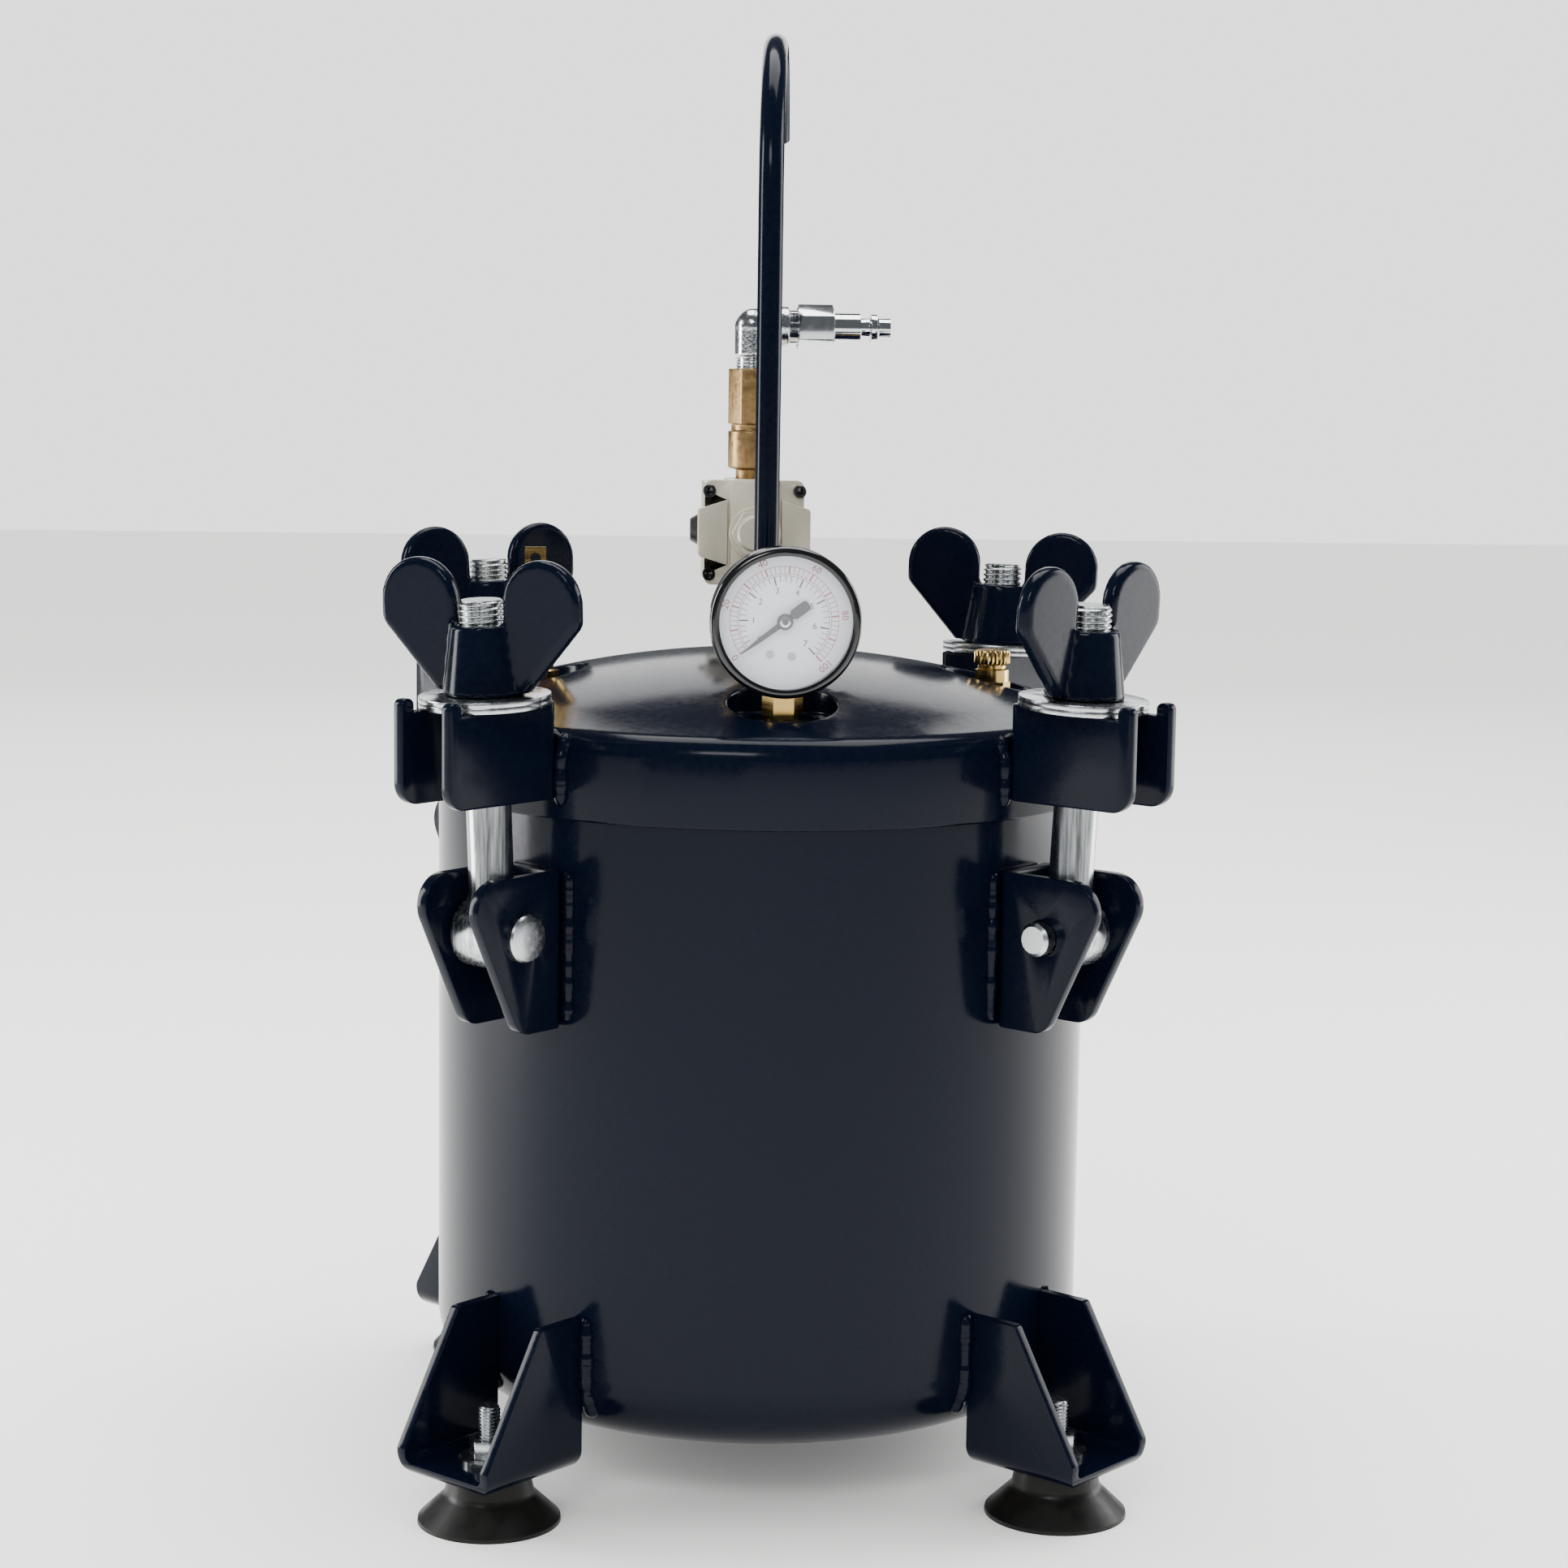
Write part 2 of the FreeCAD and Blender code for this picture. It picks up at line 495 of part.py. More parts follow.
def make_gauge():
    case = turned("case_profile", [
        (0, 0), ("case_radius", 0, "round", 2.5), ("case_radius", "case_depth"),
        ("case_radius - case_wall", "case_depth"), ("case_radius - case_wall", "case_wall", "round", 1.5),
        (0, "case_wall")])
    port = rod("case_port", 5.05, 20, (0, "5 - case_radius", "fitting_circle + gauge_back"), TOWARDS_VIEWER)
    gauge_place("gauge_case", cut("case_form", case, port))
    gauge_place("gauge_bezel", turned("bezel_profile", [
        ("case_radius + 0.05", "case_depth - 3"), ("bezel_radius", "case_depth - 3"),
        ("bezel_radius", "bezel_depth", "round", 2), ("window_radius", "bezel_depth - 0.4", "round", 0.4),
        ("window_radius", "bezel_depth - 2"), ("case_radius + 0.05", "bezel_depth - 2")]))
    gauge_place("gauge_lens", rod("lens_disc", "case_radius - 0.1", 1.6, (0, 0, "bezel_depth - 3.7")))
    dial = rod("dial_disc", "dial_radius", 0.6, (0, 0, "dial_level"))
    holes = [rod("dial_hole", 1.3, 5, (0, 0, "dial_level - 2"))]
    screws = []
    for side in (-1, 1):
        at = (f"{side} * 3.8", -12.1)
        holes.append(rod(f"screw_hole_{side + 1}", 0.9, 5, (*at, "dial_level - 2")))
        screws.append(fuse(f"dial_screw_{side + 1}", rod(f"screw_shank_{side + 1}", 0.85, 4,
                                                          (*at, "dial_level - 3.4")),
                           cone(f"screw_head_{side + 1}", 1.5, 1.2, 0.8, (*at, "dial_level + 0.6"))))
    roll = -size("dial_roll")
    gauge_place("gauge_dial", cut("dial_form", dial, *holes), roll)
    gauge_place("gauge_dial_screws", group("screw_pair", *screws), roll)
    pointer = put(padded("pointer_plate", "XY_Plane", [
        ("needle_reach", 0), (12, 0.75), (0, 1.1), (-3, 0.9), (-4, 1.9, "round", 0.5),
        (-10.5, 1.9, "round", 1.2), (-10.5, -1.9, "round", 1.2), (-4, -1.9, "round", 0.5), (-3, -0.9),
        (0, -1.1), (12, -0.75)], 0.6), (0, 0, "needle_level"))
    arbor = rod("needle_arbor", 1.1, 6.4, (0, 0, "dial_level - 1"))
    hub = rod("needle_hub", 2.3, 1.6, (0, 0, "needle_level - 0.4"))
    gauge_place("gauge_needle", fuse("needle_form", pointer, arbor, hub),
                size("90 - dial_roll + dial_sweep / 2"))
    at = (0, "-fitting_circle")
    gauge_stem = fuse("stem_form",
                      rod("stem_thread", "neck_radius", 12, (*at, "recess_floor - 11.9")),
                      hexagon("stem_hex", 12.6, 7.8, (*at, "recess_floor + 0.1")),
                      rod("stem_neck", 5, 2.5, (*at, "recess_floor + 7.8")))
    copied("gauge_stem", gauge_stem, Placement())


# --- regulator and inlet --------------------------------------------------------------------------------

def make_regulator():
    half = "(regulator_width / 2)"
    front, low, tall = "regulator_front", "regulator_bottom", "regulator_tall"
    at = (0, "fitting_circle")
    cover = padded("cover_form", "XZ_Plane", [
        (f"{side_x} * ({half} - 2.5)", f"{low} + {share} * {tall}", "round", 3)
        for side_x, share in ((-1, 0), (1, 0), (1, 1), (-1, 1))], "cover_plate", "Symmetric")
    put(cover, (0, f"{front} + cover_plate / 2", 0))
    core = block("regulator_core", f"2 * {half} - 6", "regulator_depth - cover_plate", f"{tall} - 3",
                 (f"3 - {half}", f"{front} + cover_plate", f"{low} + 1.5"))
    # side panels: full width at the middle, slanting back to the screw pads above and below
    pads = [put(padded(f"cover_panel_{i}", "XZ_Plane", [
        (f"{sx} * {half}", f"{low} + 11.5", "round", 1.5), (f"{sx} * (band_half + band_gap)", f"{low} + 8"),
        (f"{sx} * (band_half + band_gap)", f"{low} + {tall} - 8"),
        (f"{sx} * {half}", f"{low} + {tall} - 11.5", "round", 1.5)],
        "cover_plate + pad_proud", "Symmetric"), (0, f"{front} + cover_plate / 2 - pad_proud / 2", 0))
        for i, sx in enumerate((-1, 1))] + [
        block("cover_band", "2 * band_half", 3.2, tall, ("-band_half", f"{front} - 3.2", low))]
    round_boss = rod("cap_boss", "cap_round", 4.4, (0, front, f"{low} + {tall} / 2"), TOWARDS_VIEWER)
    ports = rod("port_column", "port_radius", tall, (*at, low))
    waist = rod("flow_bore", "neck_radius + 0.1", "regulator_tall + 2", (*at, f"{low} - 1"))
    screw_at = [(f"{sx} * ({half} - 4.3)", f"{low} + {tall} / 2 + {sz} * ({tall} / 2 - 4.3)")
                for sx in (-1, 1) for sz in (-1, 1)]
    screw_holes = [rod(f"cover_hole_{i}", 1.65, "cover_plate + 8", (x, f"{front} - 1", z), AWAY)
                   for i, (x, z) in enumerate(screw_at)]
    plug_at = (f"2.95 - {half}", "fitting_circle", f"{low} + {tall} / 2")
    plug_bore = rod("plug_bore", "plug_thread + 0.1", 7, plug_at, RIGHTWARDS)
    cut("regulator_body", fuse("regulator_blank", cover, core, *pads, round_boss, ports),
        waist, plug_bore, *screw_holes)
    middle = f"{low} + {tall} / 2"
    copied("regulator_cap", fuse("cap_form",
                                 hexagon("cap_hex", "cap_flats", 3.4,
                                         (0, f"{front} - 4.4", middle), TOWARDS_VIEWER),
                                 cone("cap_tip", 7.4, 6.4, 0.8, (0, f"{front} - 7.8", middle),
                                      TOWARDS_VIEWER)), Placement())
    group("regulator_screws", *(
        fuse(f"cover_screw_{i}", rod(f"cover_screw_head_{i}", 2.6, 1.6, (x, front, z), TOWARDS_VIEWER),
             rod(f"cover_screw_shank_{i}", 1.6, 12, (x, front, z), AWAY))
        for i, (x, z) in enumerate(screw_at)))
    plug = fuse("side_plug_form", rod("side_plug_thread", "plug_thread", 6, plug_at, RIGHTWARDS),
                cone("side_plug_cone", "side_plug_radius", 4.5, 5.1, plug_at, LEFTWARDS))
    copied("regulator_side_plug", plug, Placement())
    back = f"{front} + regulator_depth"
    bonnet = turned("bonnet_profile", [
        (0, 0), ("bonnet_radius", 0), ("bonnet_radius", 4), ("bonnet_radius - 3", 7, "round", 2.5),
        ("knob_radius - 2.5", 19, "round", 2), ("knob_radius - 2.5", 27), (0, 27)])
    put(bonnet, (0, back, middle), AWAY)
    copied("regulator_bonnet", bonnet, Placement())
    knob = turned("knob_profile", [
        ("knob_radius - 2.2", 0), ("knob_radius", 0), ("knob_radius", 20, "round", 2.5),
        (0, 20), (0, 8.5), ("knob_radius - 2.2", 8.5)])
    put(knob, (0, f"{back} + 19.5", middle), AWAY)
    copied("regulator_knob", knob, Placement())


def make_inlet():
    at = (0, "fitting_circle")
    low, top = "regulator_bottom", "regulator_bottom + regulator_tall"
    copied("regulator_nipple", fuse(
        "nipple_form", rod("nipple_tube", "neck_radius", f"{low} + 8 - recess_floor + 11.9",
                           (*at, "recess_floor - 11.9")),
        hexagon("nipple_hex", "nipple_flats", 9, (*at, "recess_floor + 5")),
        rod("nipple_collar", 8.2, 4, (*at, f"{low} - 5"))), Placement())
    coupling = turned("coupling_profile", [
        (0, -8), ("neck_radius", -8), ("neck_radius", 3.6), ("coupling_body", 4.4), ("coupling_body", 19),
        ("coupling_groove", 19.2), ("coupling_groove", "coupling_hex_low"), (0, "coupling_hex_low")])
    put(coupling, (*at, top))
    upper = hexagon("coupling_hex", "coupling_flats", "coupling_hex_tall", (*at, f"{top} + coupling_hex_low"))
    socket = rod("coupling_socket", 6.5, 14, (*at, f"{top} + 34"))
    cut("inlet_coupling", fuse("coupling_form", coupling, upper), socket)
    centre = (*at, f"{top} + elbow_rise")
    bend_ball = doc.addObject("Part::Sphere", "elbow_ball")
    put(tie(bend_ball, Radius="elbow_radius + 0.1"), centre)
    elbow = fuse("elbow_form",
                 rod("elbow_thread", "neck_radius", 14, (*at, f"{top} + 37")),
                 rod("elbow_leg", "elbow_radius", 12, (*at, f"{top} + 49")), bend_ball,
                 rod("elbow_arm", "elbow_radius", 10, centre, RIGHTWARDS),
                 rod("elbow_collar", "elbow_collar", 5, (9.1, *centre[1:]), RIGHTWARDS))
    cut("inlet_elbow", elbow, rod("elbow_socket", 6.3, 8, (6.2, *centre[1:]), RIGHTWARDS))
    half_hex = "(quick_flats / 2 - 0.05)"
    plug = turned("quick_plug_profile", [
        ("air_bore", 7), (6.2, 7), (6.2, 14.3), (6.9, 14.3), (6.9, 17.6), (half_hex, 17.6),
        (half_hex, 32.1), ("barrel_radius", 32.4), ("barrel_radius", 42.7), ("nose_radius", 43.2),
        ("nose_radius", 46.6), ("nose_ridge", 47.2), ("nose_ridge", 49.6), ("nose_tip", 50.4),
        ("nose_tip", 55), ("air_bore", 55)])
    hex_band = hexagon("quick_plug_band", "quick_flats", 13.9, (0, 0, 17.9))
    band = cut("quick_plug_hex", hex_band, rod("quick_plug_core", 4, 40, (0, 0, 0)))
    whole = fuse("quick_plug_form", plug, band)
    place = Placement(Vector(0, size("fitting_circle"), size(centre[2])), RIGHTWARDS)
    copied("quick_plug", whole, place)


# --- valves ---------------------------------------------------------------------------------------------

def make_bleed_valve():
    at = ("fitting_circle", 0)
    floor = "(recess_floor + 0.1)"
    body = turned("bleed_profile", [
        (0, -12), ("neck_radius", -12), ("neck_radius", 0), (6.2, 0), (6.2, 4.6), ("bleed_body", 4.8),
        ("bleed_body", 9.4), ("bleed_neck", 9.9), ("bleed_neck", 11), ("bleed_thread", 11),
        ("bleed_thread", 15), (0, 15)])
    put(body, (*at, floor))
    copied("bleed_valve_body", fuse("bleed_form", body, hexagon("bleed_hex", "bleed_flats", 4.7,
                                                                     (*at, floor))), Placement())
    cap = turned("bleed_cap_profile", [
        ("bleed_thread + 0.06", 11.4), ("bleed_cap - 0.55", 11.4), ("bleed_cap", 12), ("bleed_cap", 16.2),
        ("bleed_cap - 0.55", 16.8), (0, 16.8), (0, 15.3), ("bleed_thread + 0.06", 15.3)])
    copied("bleed_valve_cap", put(cap, (*at, floor)), Placement())


def make_safety_valve():
    at = ("-fitting_circle", 0)
    floor = "(recess_floor + 0.1)"
    body = turned("safety_profile", [
        (0, -12), ("neck_radius", -12), ("neck_radius", 0), (7.2, 0), (7.2, 8), ("safety_body", 8.4),
        ("safety_body", 12), ("safety_barrel", 12.6), ("safety_barrel", 34, "round", 1),
        (5.4, 37.5), (2.5, 37.5), (2.5, 14), (0, 14)])
    put(body, (*at, floor))
    hex_base = hexagon("safety_hex_blank", "safety_flats", 8, (*at, floor))
    hex_ring = cut("safety_hex", hex_base, rod("safety_core", 5, 30, (*at, "recess_floor - 5")))
    vents = [put(tie(doc.addObject("Part::Cylinder", f"safety_vent_{i}"), Radius="vent_radius", Height=20),
                 ("-fitting_circle", 0, "recess_floor + 22"), Rotation(Z, 60 * i) * Rotation(X, 90))
             for i in range(6)]
    cut("safety_valve_body", fuse("safety_form", body, hex_ring), *vents)
    stem = rod("safety_rod", "stem_radius", 33, (*at, f"{floor} + 14.1"))
    tag = block("safety_tag", "tag_wide", "tag_thick", "tag_tall",
                ("-fitting_circle - tag_wide / 2", "-tag_thick / 2", f"{floor} + 45"))
    eye = rod("safety_tag_hole", "tag_hole", 10, ("-fitting_circle", 5, f"{floor} + 50.2"), TOWARDS_VIEWER)
    cut("safety_valve_stem", fuse("safety_stem_form", stem, tag), eye)


for make in (make_pot, make_lid, make_handle, make_lugs, make_clamp_brackets, make_clevis_pins,
             make_swing_bolts, make_washers, make_wing_nuts, make_feet, make_gauge, make_regulator,
             make_inlet, make_bleed_valve, make_safety_valve):
    make()
doc.recompute()

GROUPS = ["pot_shell", "lid_shell", "lid_gasket", "lid_bungs", "clevis_pins", "lower_washers",
          "foot_studs", "foot_washers", "foot_nuts", "handle_hook", "gauge_case", "gauge_bezel",
          "gauge_lens", "gauge_dial", "gauge_dial_screws", "gauge_needle", "gauge_stem",
          "regulator_body", "regulator_cap", "regulator_screws", "regulator_side_plug",
          "regulator_bonnet", "regulator_knob", "regulator_nipple", "inlet_coupling", "inlet_elbow",
          "quick_plug", "bleed_valve_body", "bleed_valve_cap", "safety_valve_body", "safety_valve_stem"]
AT_EACH_STATION = ["lid_lug", "clamp_bracket", "swing_bolt", "upper_washer", "wing_nut", "foot_bracket",
                   "suction_foot"]
NODES = GROUPS + [f"{kind}_{name}" for kind in AT_EACH_STATION for name in STATIONS]

for item in doc.Objects:
    if "Invalid" in item.State or "Error" in item.State:
        raise RuntimeError(f"{item.Label} did not build: {item.State}")
os.makedirs("parts", exist_ok=True)
for name in NODES:
    shape = doc.getObject(name).Shape
    if shape.isNull() or not shape.isValid() or not shape.Solids:
        raise RuntimeError(f"{name} has no valid solid")
    shape.exportStep(f"parts/{name}.step")
    print(f"{name}: {len(shape.Solids)} solids, {sum(s.Volume for s in shape.Solids):.0f} mm3")
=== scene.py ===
"""Looks and fine shapes of a resin pressure pot, built round its CAD solids."""
import json
import logging
import math
import random
from dataclasses import dataclass, field
from enum import Enum
from typing import Iterable, Sequence

import bpy
from mathutils import Matrix, Vector


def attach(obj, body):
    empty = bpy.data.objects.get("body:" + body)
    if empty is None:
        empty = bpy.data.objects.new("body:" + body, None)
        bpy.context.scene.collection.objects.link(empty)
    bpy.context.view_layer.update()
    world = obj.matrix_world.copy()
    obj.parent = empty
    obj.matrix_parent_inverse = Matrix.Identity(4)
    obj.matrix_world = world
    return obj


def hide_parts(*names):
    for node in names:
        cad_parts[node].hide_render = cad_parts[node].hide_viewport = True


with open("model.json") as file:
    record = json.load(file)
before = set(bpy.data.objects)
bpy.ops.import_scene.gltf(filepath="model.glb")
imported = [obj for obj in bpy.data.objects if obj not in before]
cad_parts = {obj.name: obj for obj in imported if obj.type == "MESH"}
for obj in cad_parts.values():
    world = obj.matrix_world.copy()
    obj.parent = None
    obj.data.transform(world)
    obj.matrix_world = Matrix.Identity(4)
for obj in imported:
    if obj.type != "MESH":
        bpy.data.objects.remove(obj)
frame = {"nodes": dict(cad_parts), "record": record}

LOG = logging.getLogger("pressure_pot")
MM = 0.001
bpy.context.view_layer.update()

STATIONS = {"front_left": 225.0, "front_right": 315.0, "back_right": 45.0, "back_left": 135.0}
PIN_REACH, PIN_HEIGHT, BOLT_LEAN = 143.5, 213.0, 3.05
FITTING_CIRCLE = 87.0
QUARTER = math.pi / 2
EASE_ANGLE = math.radians(38)
CAST_SHADE = 80.0

Profile = Sequence[tuple[float, float]]


class Slot(Enum):
    """Material slots that the part's record names."""

    ENAMEL = "navy_enamel"
    ZINC = "zinc_plate"
    RUBBER = "black_rubber"
    STEEL = "bare_steel"
    BRASS = "brass"
    CHROME = "chrome_plate"
    NICKEL = "champagne_nickel"
    PLASTIC = "black_plastic"
    BLACK = "black_enamel"
    DIAL = "dial_white"
    LENS = "clear_lens"


# --- materials ------------------------------------------------------------------------------------------

def linear(code: str) -> tuple[float, float, float, float]:
    """Turn an sRGB hex colour into linear light.

    Args:
        code: Six hex digits after a hash sign.

    Returns:
        Red, green, blue and an alpha of one.
    """
    parts = [int(code[i:i + 2], 16) / 255 for i in (1, 3, 5)]
    r, g, b = (c / 12.92 if c <= 0.04045 else ((c + 0.055) / 1.055) ** 2.4 for c in parts)
    return (r, g, b, 1.0)


def add_node(tree: bpy.types.NodeTree, kind: str, settings: dict | None = None,
             values: dict | None = None, links: dict | None = None) -> bpy.types.Node:
    """Add a node with its settings, socket values and incoming links.

    Args:
        tree: The node tree to add to.
        kind: The node's type name.
        settings: Properties of the node itself.
        values: Input socket to constant.
        links: Input socket to the output that feeds it.

    Returns:
        The new node.
    """
    node = tree.nodes.new(kind)
    for key, value in (settings or {}).items():
        setattr(node, key, value)
    for key, value in (values or {}).items():
        node.inputs[key].default_value = value
    for key, output in (links or {}).items():
        tree.links.new(output, node.inputs[key])
    return node


# A clear coat is a little less than mirror smooth, and noise values seldom leave the middle of their range.
COAT_ROUGHNESS = 0.06
NOISE_LOW, NOISE_HIGH = 0.3, 0.7


@dataclass(frozen=True)
class Finish:
    """A surface: its colours, gloss, and a grain that varies colour, gloss and height together."""

    name: str
    light: str
    dark: str
    metallic: float = 0.0
    roughness: float = 0.4
    spread: float = 0.0
    grain_mm: float = 2.0
    stretch: tuple[float, float, float] = (1.0, 1.0, 1.0)
    height_mm: float = 0.0
    detail: float = 2.0
    coat: float = 0.0
    alpha: float = 1.0
    contrast: float = 0.25
    specular: float = 0.5

    def material(self) -> bpy.types.Material:
        """Build the material.

        Returns:
            A node material on Object coordinates.
        """
        made = bpy.data.materials.new(self.name)
        made.use_nodes = True
        tree = made.node_tree
        tree.nodes.clear()
        shader = add_node(tree, "ShaderNodeBsdfPrincipled", values={
            "Metallic": self.metallic, "Roughness": self.roughness, "Alpha": self.alpha,
            "Coat Weight": self.coat, "Coat Roughness": COAT_ROUGHNESS, "Base Color": linear(self.light),
            "Specular IOR Level": self.specular})
        add_node(tree, "ShaderNodeOutputMaterial", links={"Surface": shader.outputs[0]})
        place = add_node(tree, "ShaderNodeTexCoord")
        mapped = add_node(tree, "ShaderNodeMapping", values={"Scale": self.stretch},
                          links={"Vector": place.outputs["Object"]})
        grain = add_node(tree, "ShaderNodeTexNoise",
                         values={"Scale": 1 / (self.grain_mm * MM), "Detail": self.detail},
                         links={"Vector": mapped.outputs[0]})
        level = grain.outputs[0]
        if self.light != self.dark:
            ramp = add_node(tree, "ShaderNodeValToRGB", links={"Fac": level})
            ramp.color_ramp.elements[0].position = 0.5 - self.contrast
            ramp.color_ramp.elements[1].position = 0.5 + self.contrast
            ramp.color_ramp.elements[0].color = linear(self.dark)
            ramp.color_ramp.elements[1].color = linear(self.light)
            tree.links.new(ramp.outputs[0], shader.inputs["Base Color"])
        if self.spread:
            gloss = add_node(tree, "ShaderNodeMapRange", links={"Value": level}, values={
                "From Min": NOISE_LOW, "From Max": NOISE_HIGH, "To Min": self.roughness - self.spread,
                "To Max": self.roughness + self.spread})
            tree.links.new(gloss.outputs[0], shader.inputs["Roughness"])
        if self.height_mm:
            bump = add_node(tree, "ShaderNodeBump", values={"Strength": 1.0, "Distance": self.height_mm * MM},
                            links={"Height": level})
            tree.links.new(bump.outputs[0], shader.inputs["Normal"])
        return made


# Sprayed and stoved polyester enamel: deep gloss with a faint orange peel of about 2 mm.
NAVY_ENAMEL = Finish("stoved_navy_enamel", "#050a17", "#030713", roughness=0.15, spread=0.03, grain_mm=2.2,
                     height_mm=0.01, specular=0.12)
# Electroplated zinc on turned steel: bright, with drawing streaks along the shank.
ZINC = Finish("drawn_zinc_plate", "#d3d6d6", "#8b9093", metallic=1.0, roughness=0.27, spread=0.07,
              grain_mm=1.0, stretch=(1.0, 1.0, 0.03), height_mm=0.004, contrast=0.2)
# Zinc on stamped washers and cold-headed nuts: bright, finely scratched in no one direction.
STAMPED_ZINC = Finish("stamped_zinc_plate", "#cfd2d4", "#b1b5b8", metallic=1.0, roughness=0.26, spread=0.05,
                      grain_mm=2.5, height_mm=0.003)
# Moulded nitrile rubber: dull black with a slight bloom.
RUBBER = Finish("moulded_nitrile_rubber", "#12100e", "#0b0a09", roughness=0.42, spread=0.08, grain_mm=6.0,
                height_mm=0.01, specular=0.3)
# Mild steel as rolled: grey and slightly mottled.
STEEL = Finish("rolled_mild_steel", "#8d8f90", "#6e7072", metallic=1.0, roughness=0.42, spread=0.06,
               grain_mm=3.0)
# Turned brass, polished: warm yellow and sharp highlights.
BRASS = Finish("polished_turned_brass", "#dfc07c", "#cba65a", metallic=1.0, roughness=0.2, spread=0.05,
               grain_mm=1.2, stretch=(0.05, 0.05, 1.0), height_mm=0.004)
# Brass left as machined: duller, its colour darkened to a brown as painted shade.
SHADED_DULL_BRASS = Finish("dull_brass_painted_shade", "#a98d62", "#856843", metallic=1.0, roughness=0.36, spread=0.08,
                    grain_mm=2.4, height_mm=0.006, detail=5.0)
# Bright chromium plate on turned steel: a clear mirror.
CHROME = Finish("bright_chrome_plate", "#dfe1e3", "#d3d5d8", metallic=1.0, roughness=0.1, spread=0.03,
                grain_mm=3.0)
# Chromium plate over a drop forging: mirror broken by the scale's small dents, about 1 mm apart.
FORGED_CHROME = Finish("forged_chrome_plate", "#dcdee0", "#b9bcc0", metallic=1.0, roughness=0.16, spread=0.06,
                       grain_mm=1.1, height_mm=0.09, detail=3.0)
# Die-cast zinc alloy under a satin champagne paint: a soft, warm metallic sheen.
CHAMPAGNE = Finish("satin_champagne_paint", "#dad4c2", "#cfc8b4", metallic=0.7, roughness=0.38, spread=0.05,
                   grain_mm=0.5, height_mm=0.006)
# Glass-filled nylon: black with a low sheen.
PLASTIC = Finish("moulded_black_nylon", "#17171a", "#111113", roughness=0.42, spread=0.06, grain_mm=1.0)
# Japanned steel of the gauge's case: black, near mirror.
BLACK_GLOSS = Finish("japanned_black_steel", "#08090b", "#08090b", roughness=0.14, coat=0.4, grain_mm=3.0)
# Printed aluminium dial: flat cool white.
DIAL_WHITE = Finish("painted_dial_white", "#e6ebf2", "#e1e6ee", roughness=0.55, grain_mm=3.0)
# Moulded acrylic window: almost invisible, with a trace of gloss.
LENS = Finish("acrylic_window", "#f4f8ff", "#f4f8ff", roughness=0.04, alpha=0.07, grain_mm=4.0)
# Screen-printing inks on the dial: flat and thin.
RED_INK = Finish("red_printing_ink", "#a81c36", "#a81c36", roughness=0.6, grain_mm=3.0)
BLACK_INK = Finish("black_printing_ink", "#1c1e22", "#1c1e22", roughness=0.6, grain_mm=3.0)


@dataclass
class Paintshop:
    """Builds each finish once and knows which one a CAD node takes."""

    made: dict[str, bpy.types.Material] = field(default_factory=dict)
    by_slot: dict[str, Finish] = field(default_factory=lambda: {
        Slot.ENAMEL.value: NAVY_ENAMEL, Slot.ZINC.value: STAMPED_ZINC, Slot.RUBBER.value: RUBBER,
        Slot.STEEL.value: STEEL, Slot.BRASS.value: BRASS, Slot.CHROME.value: CHROME,
        Slot.NICKEL.value: CHAMPAGNE, Slot.PLASTIC.value: PLASTIC, Slot.BLACK.value: BLACK_GLOSS,
        Slot.DIAL.value: DIAL_WHITE, Slot.LENS.value: LENS})
    # The inlet coupling and the regulator nipple take the dull brass, whose darker brown is painted shade.
    by_node: dict[str, Finish] = field(default_factory=lambda: {
        "inlet_coupling": SHADED_DULL_BRASS, "regulator_nipple": SHADED_DULL_BRASS, "inlet_elbow": FORGED_CHROME})

    def material(self, finish: Finish) -> bpy.types.Material:
        """Return the finish's material, made on first use."""
        if finish.name not in self.made:
            self.made[finish.name] = finish.material()
        return self.made[finish.name]

    def coat(self, piece: bpy.types.Object, finish: Finish) -> None:
        """Give a piece one material all over."""
        if not piece.material_slots:
            piece.data.materials.append(None)
        for holder in piece.material_slots:
            holder.material = self.material(finish)

    def coat_frame(self) -> None:
        """Dress every CAD node from its slot in the record."""
        for row in frame["record"]["subparts"]:
            finish = self.by_node.get(row["node"], self.by_slot[row["material_slot"]])
            self.coat(frame["nodes"][row["node"]], finish)
        LOG.info("dressed %d CAD nodes", len(frame["nodes"]))


SHOP = Paintshop()


# --- ways of making a mesh ------------------------------------------------------------------------------

# Least change of radius, as a ratio, that is worth a resize; slack of a fluted band in millimetres.
SAME_RADIUS = 1e-6
BAND_SLACK = 1e-3
# Distance in metres under which a CAD node's corners are one, and the angle under which its faces are flat.
WELD_GAP = 2e-6
FLAT_ANGLE = math.radians(0.6)
# Form of a cut thread: rings a turn, steepness and height of its flanks, and how it fades at the tip.
THREAD_ROWS = 10
THREAD_FLANK, THREAD_TRIM = 1.35, 0.1
FADE_TURNS, FADE_FLOOR, TIP_CHAMFER = 0.9, 0.35, 0.3

def pick(piece: bpy.types.Object) -> bpy.types.Object:
    """Select one object alone and make it active."""
    bpy.ops.object.select_all(action="DESELECT")
    piece.select_set(True)
    bpy.context.view_layer.objects.active = piece
    return piece


def modify(piece: bpy.types.Object, kind: str, **settings: object) -> bpy.types.Object:
    """Add a modifier with its settings and apply it.

    Args:
        piece: The object to change.
        kind: The modifier's type name.
        **settings: Its properties.

    Returns:
        The same object.
    """
    pick(piece)
    modifier = piece.modifiers.new(kind.lower(), kind)
    for key, value in settings.items():
        setattr(modifier, key, value)
    bpy.ops.object.modifier_apply(modifier=modifier.name)
    return piece


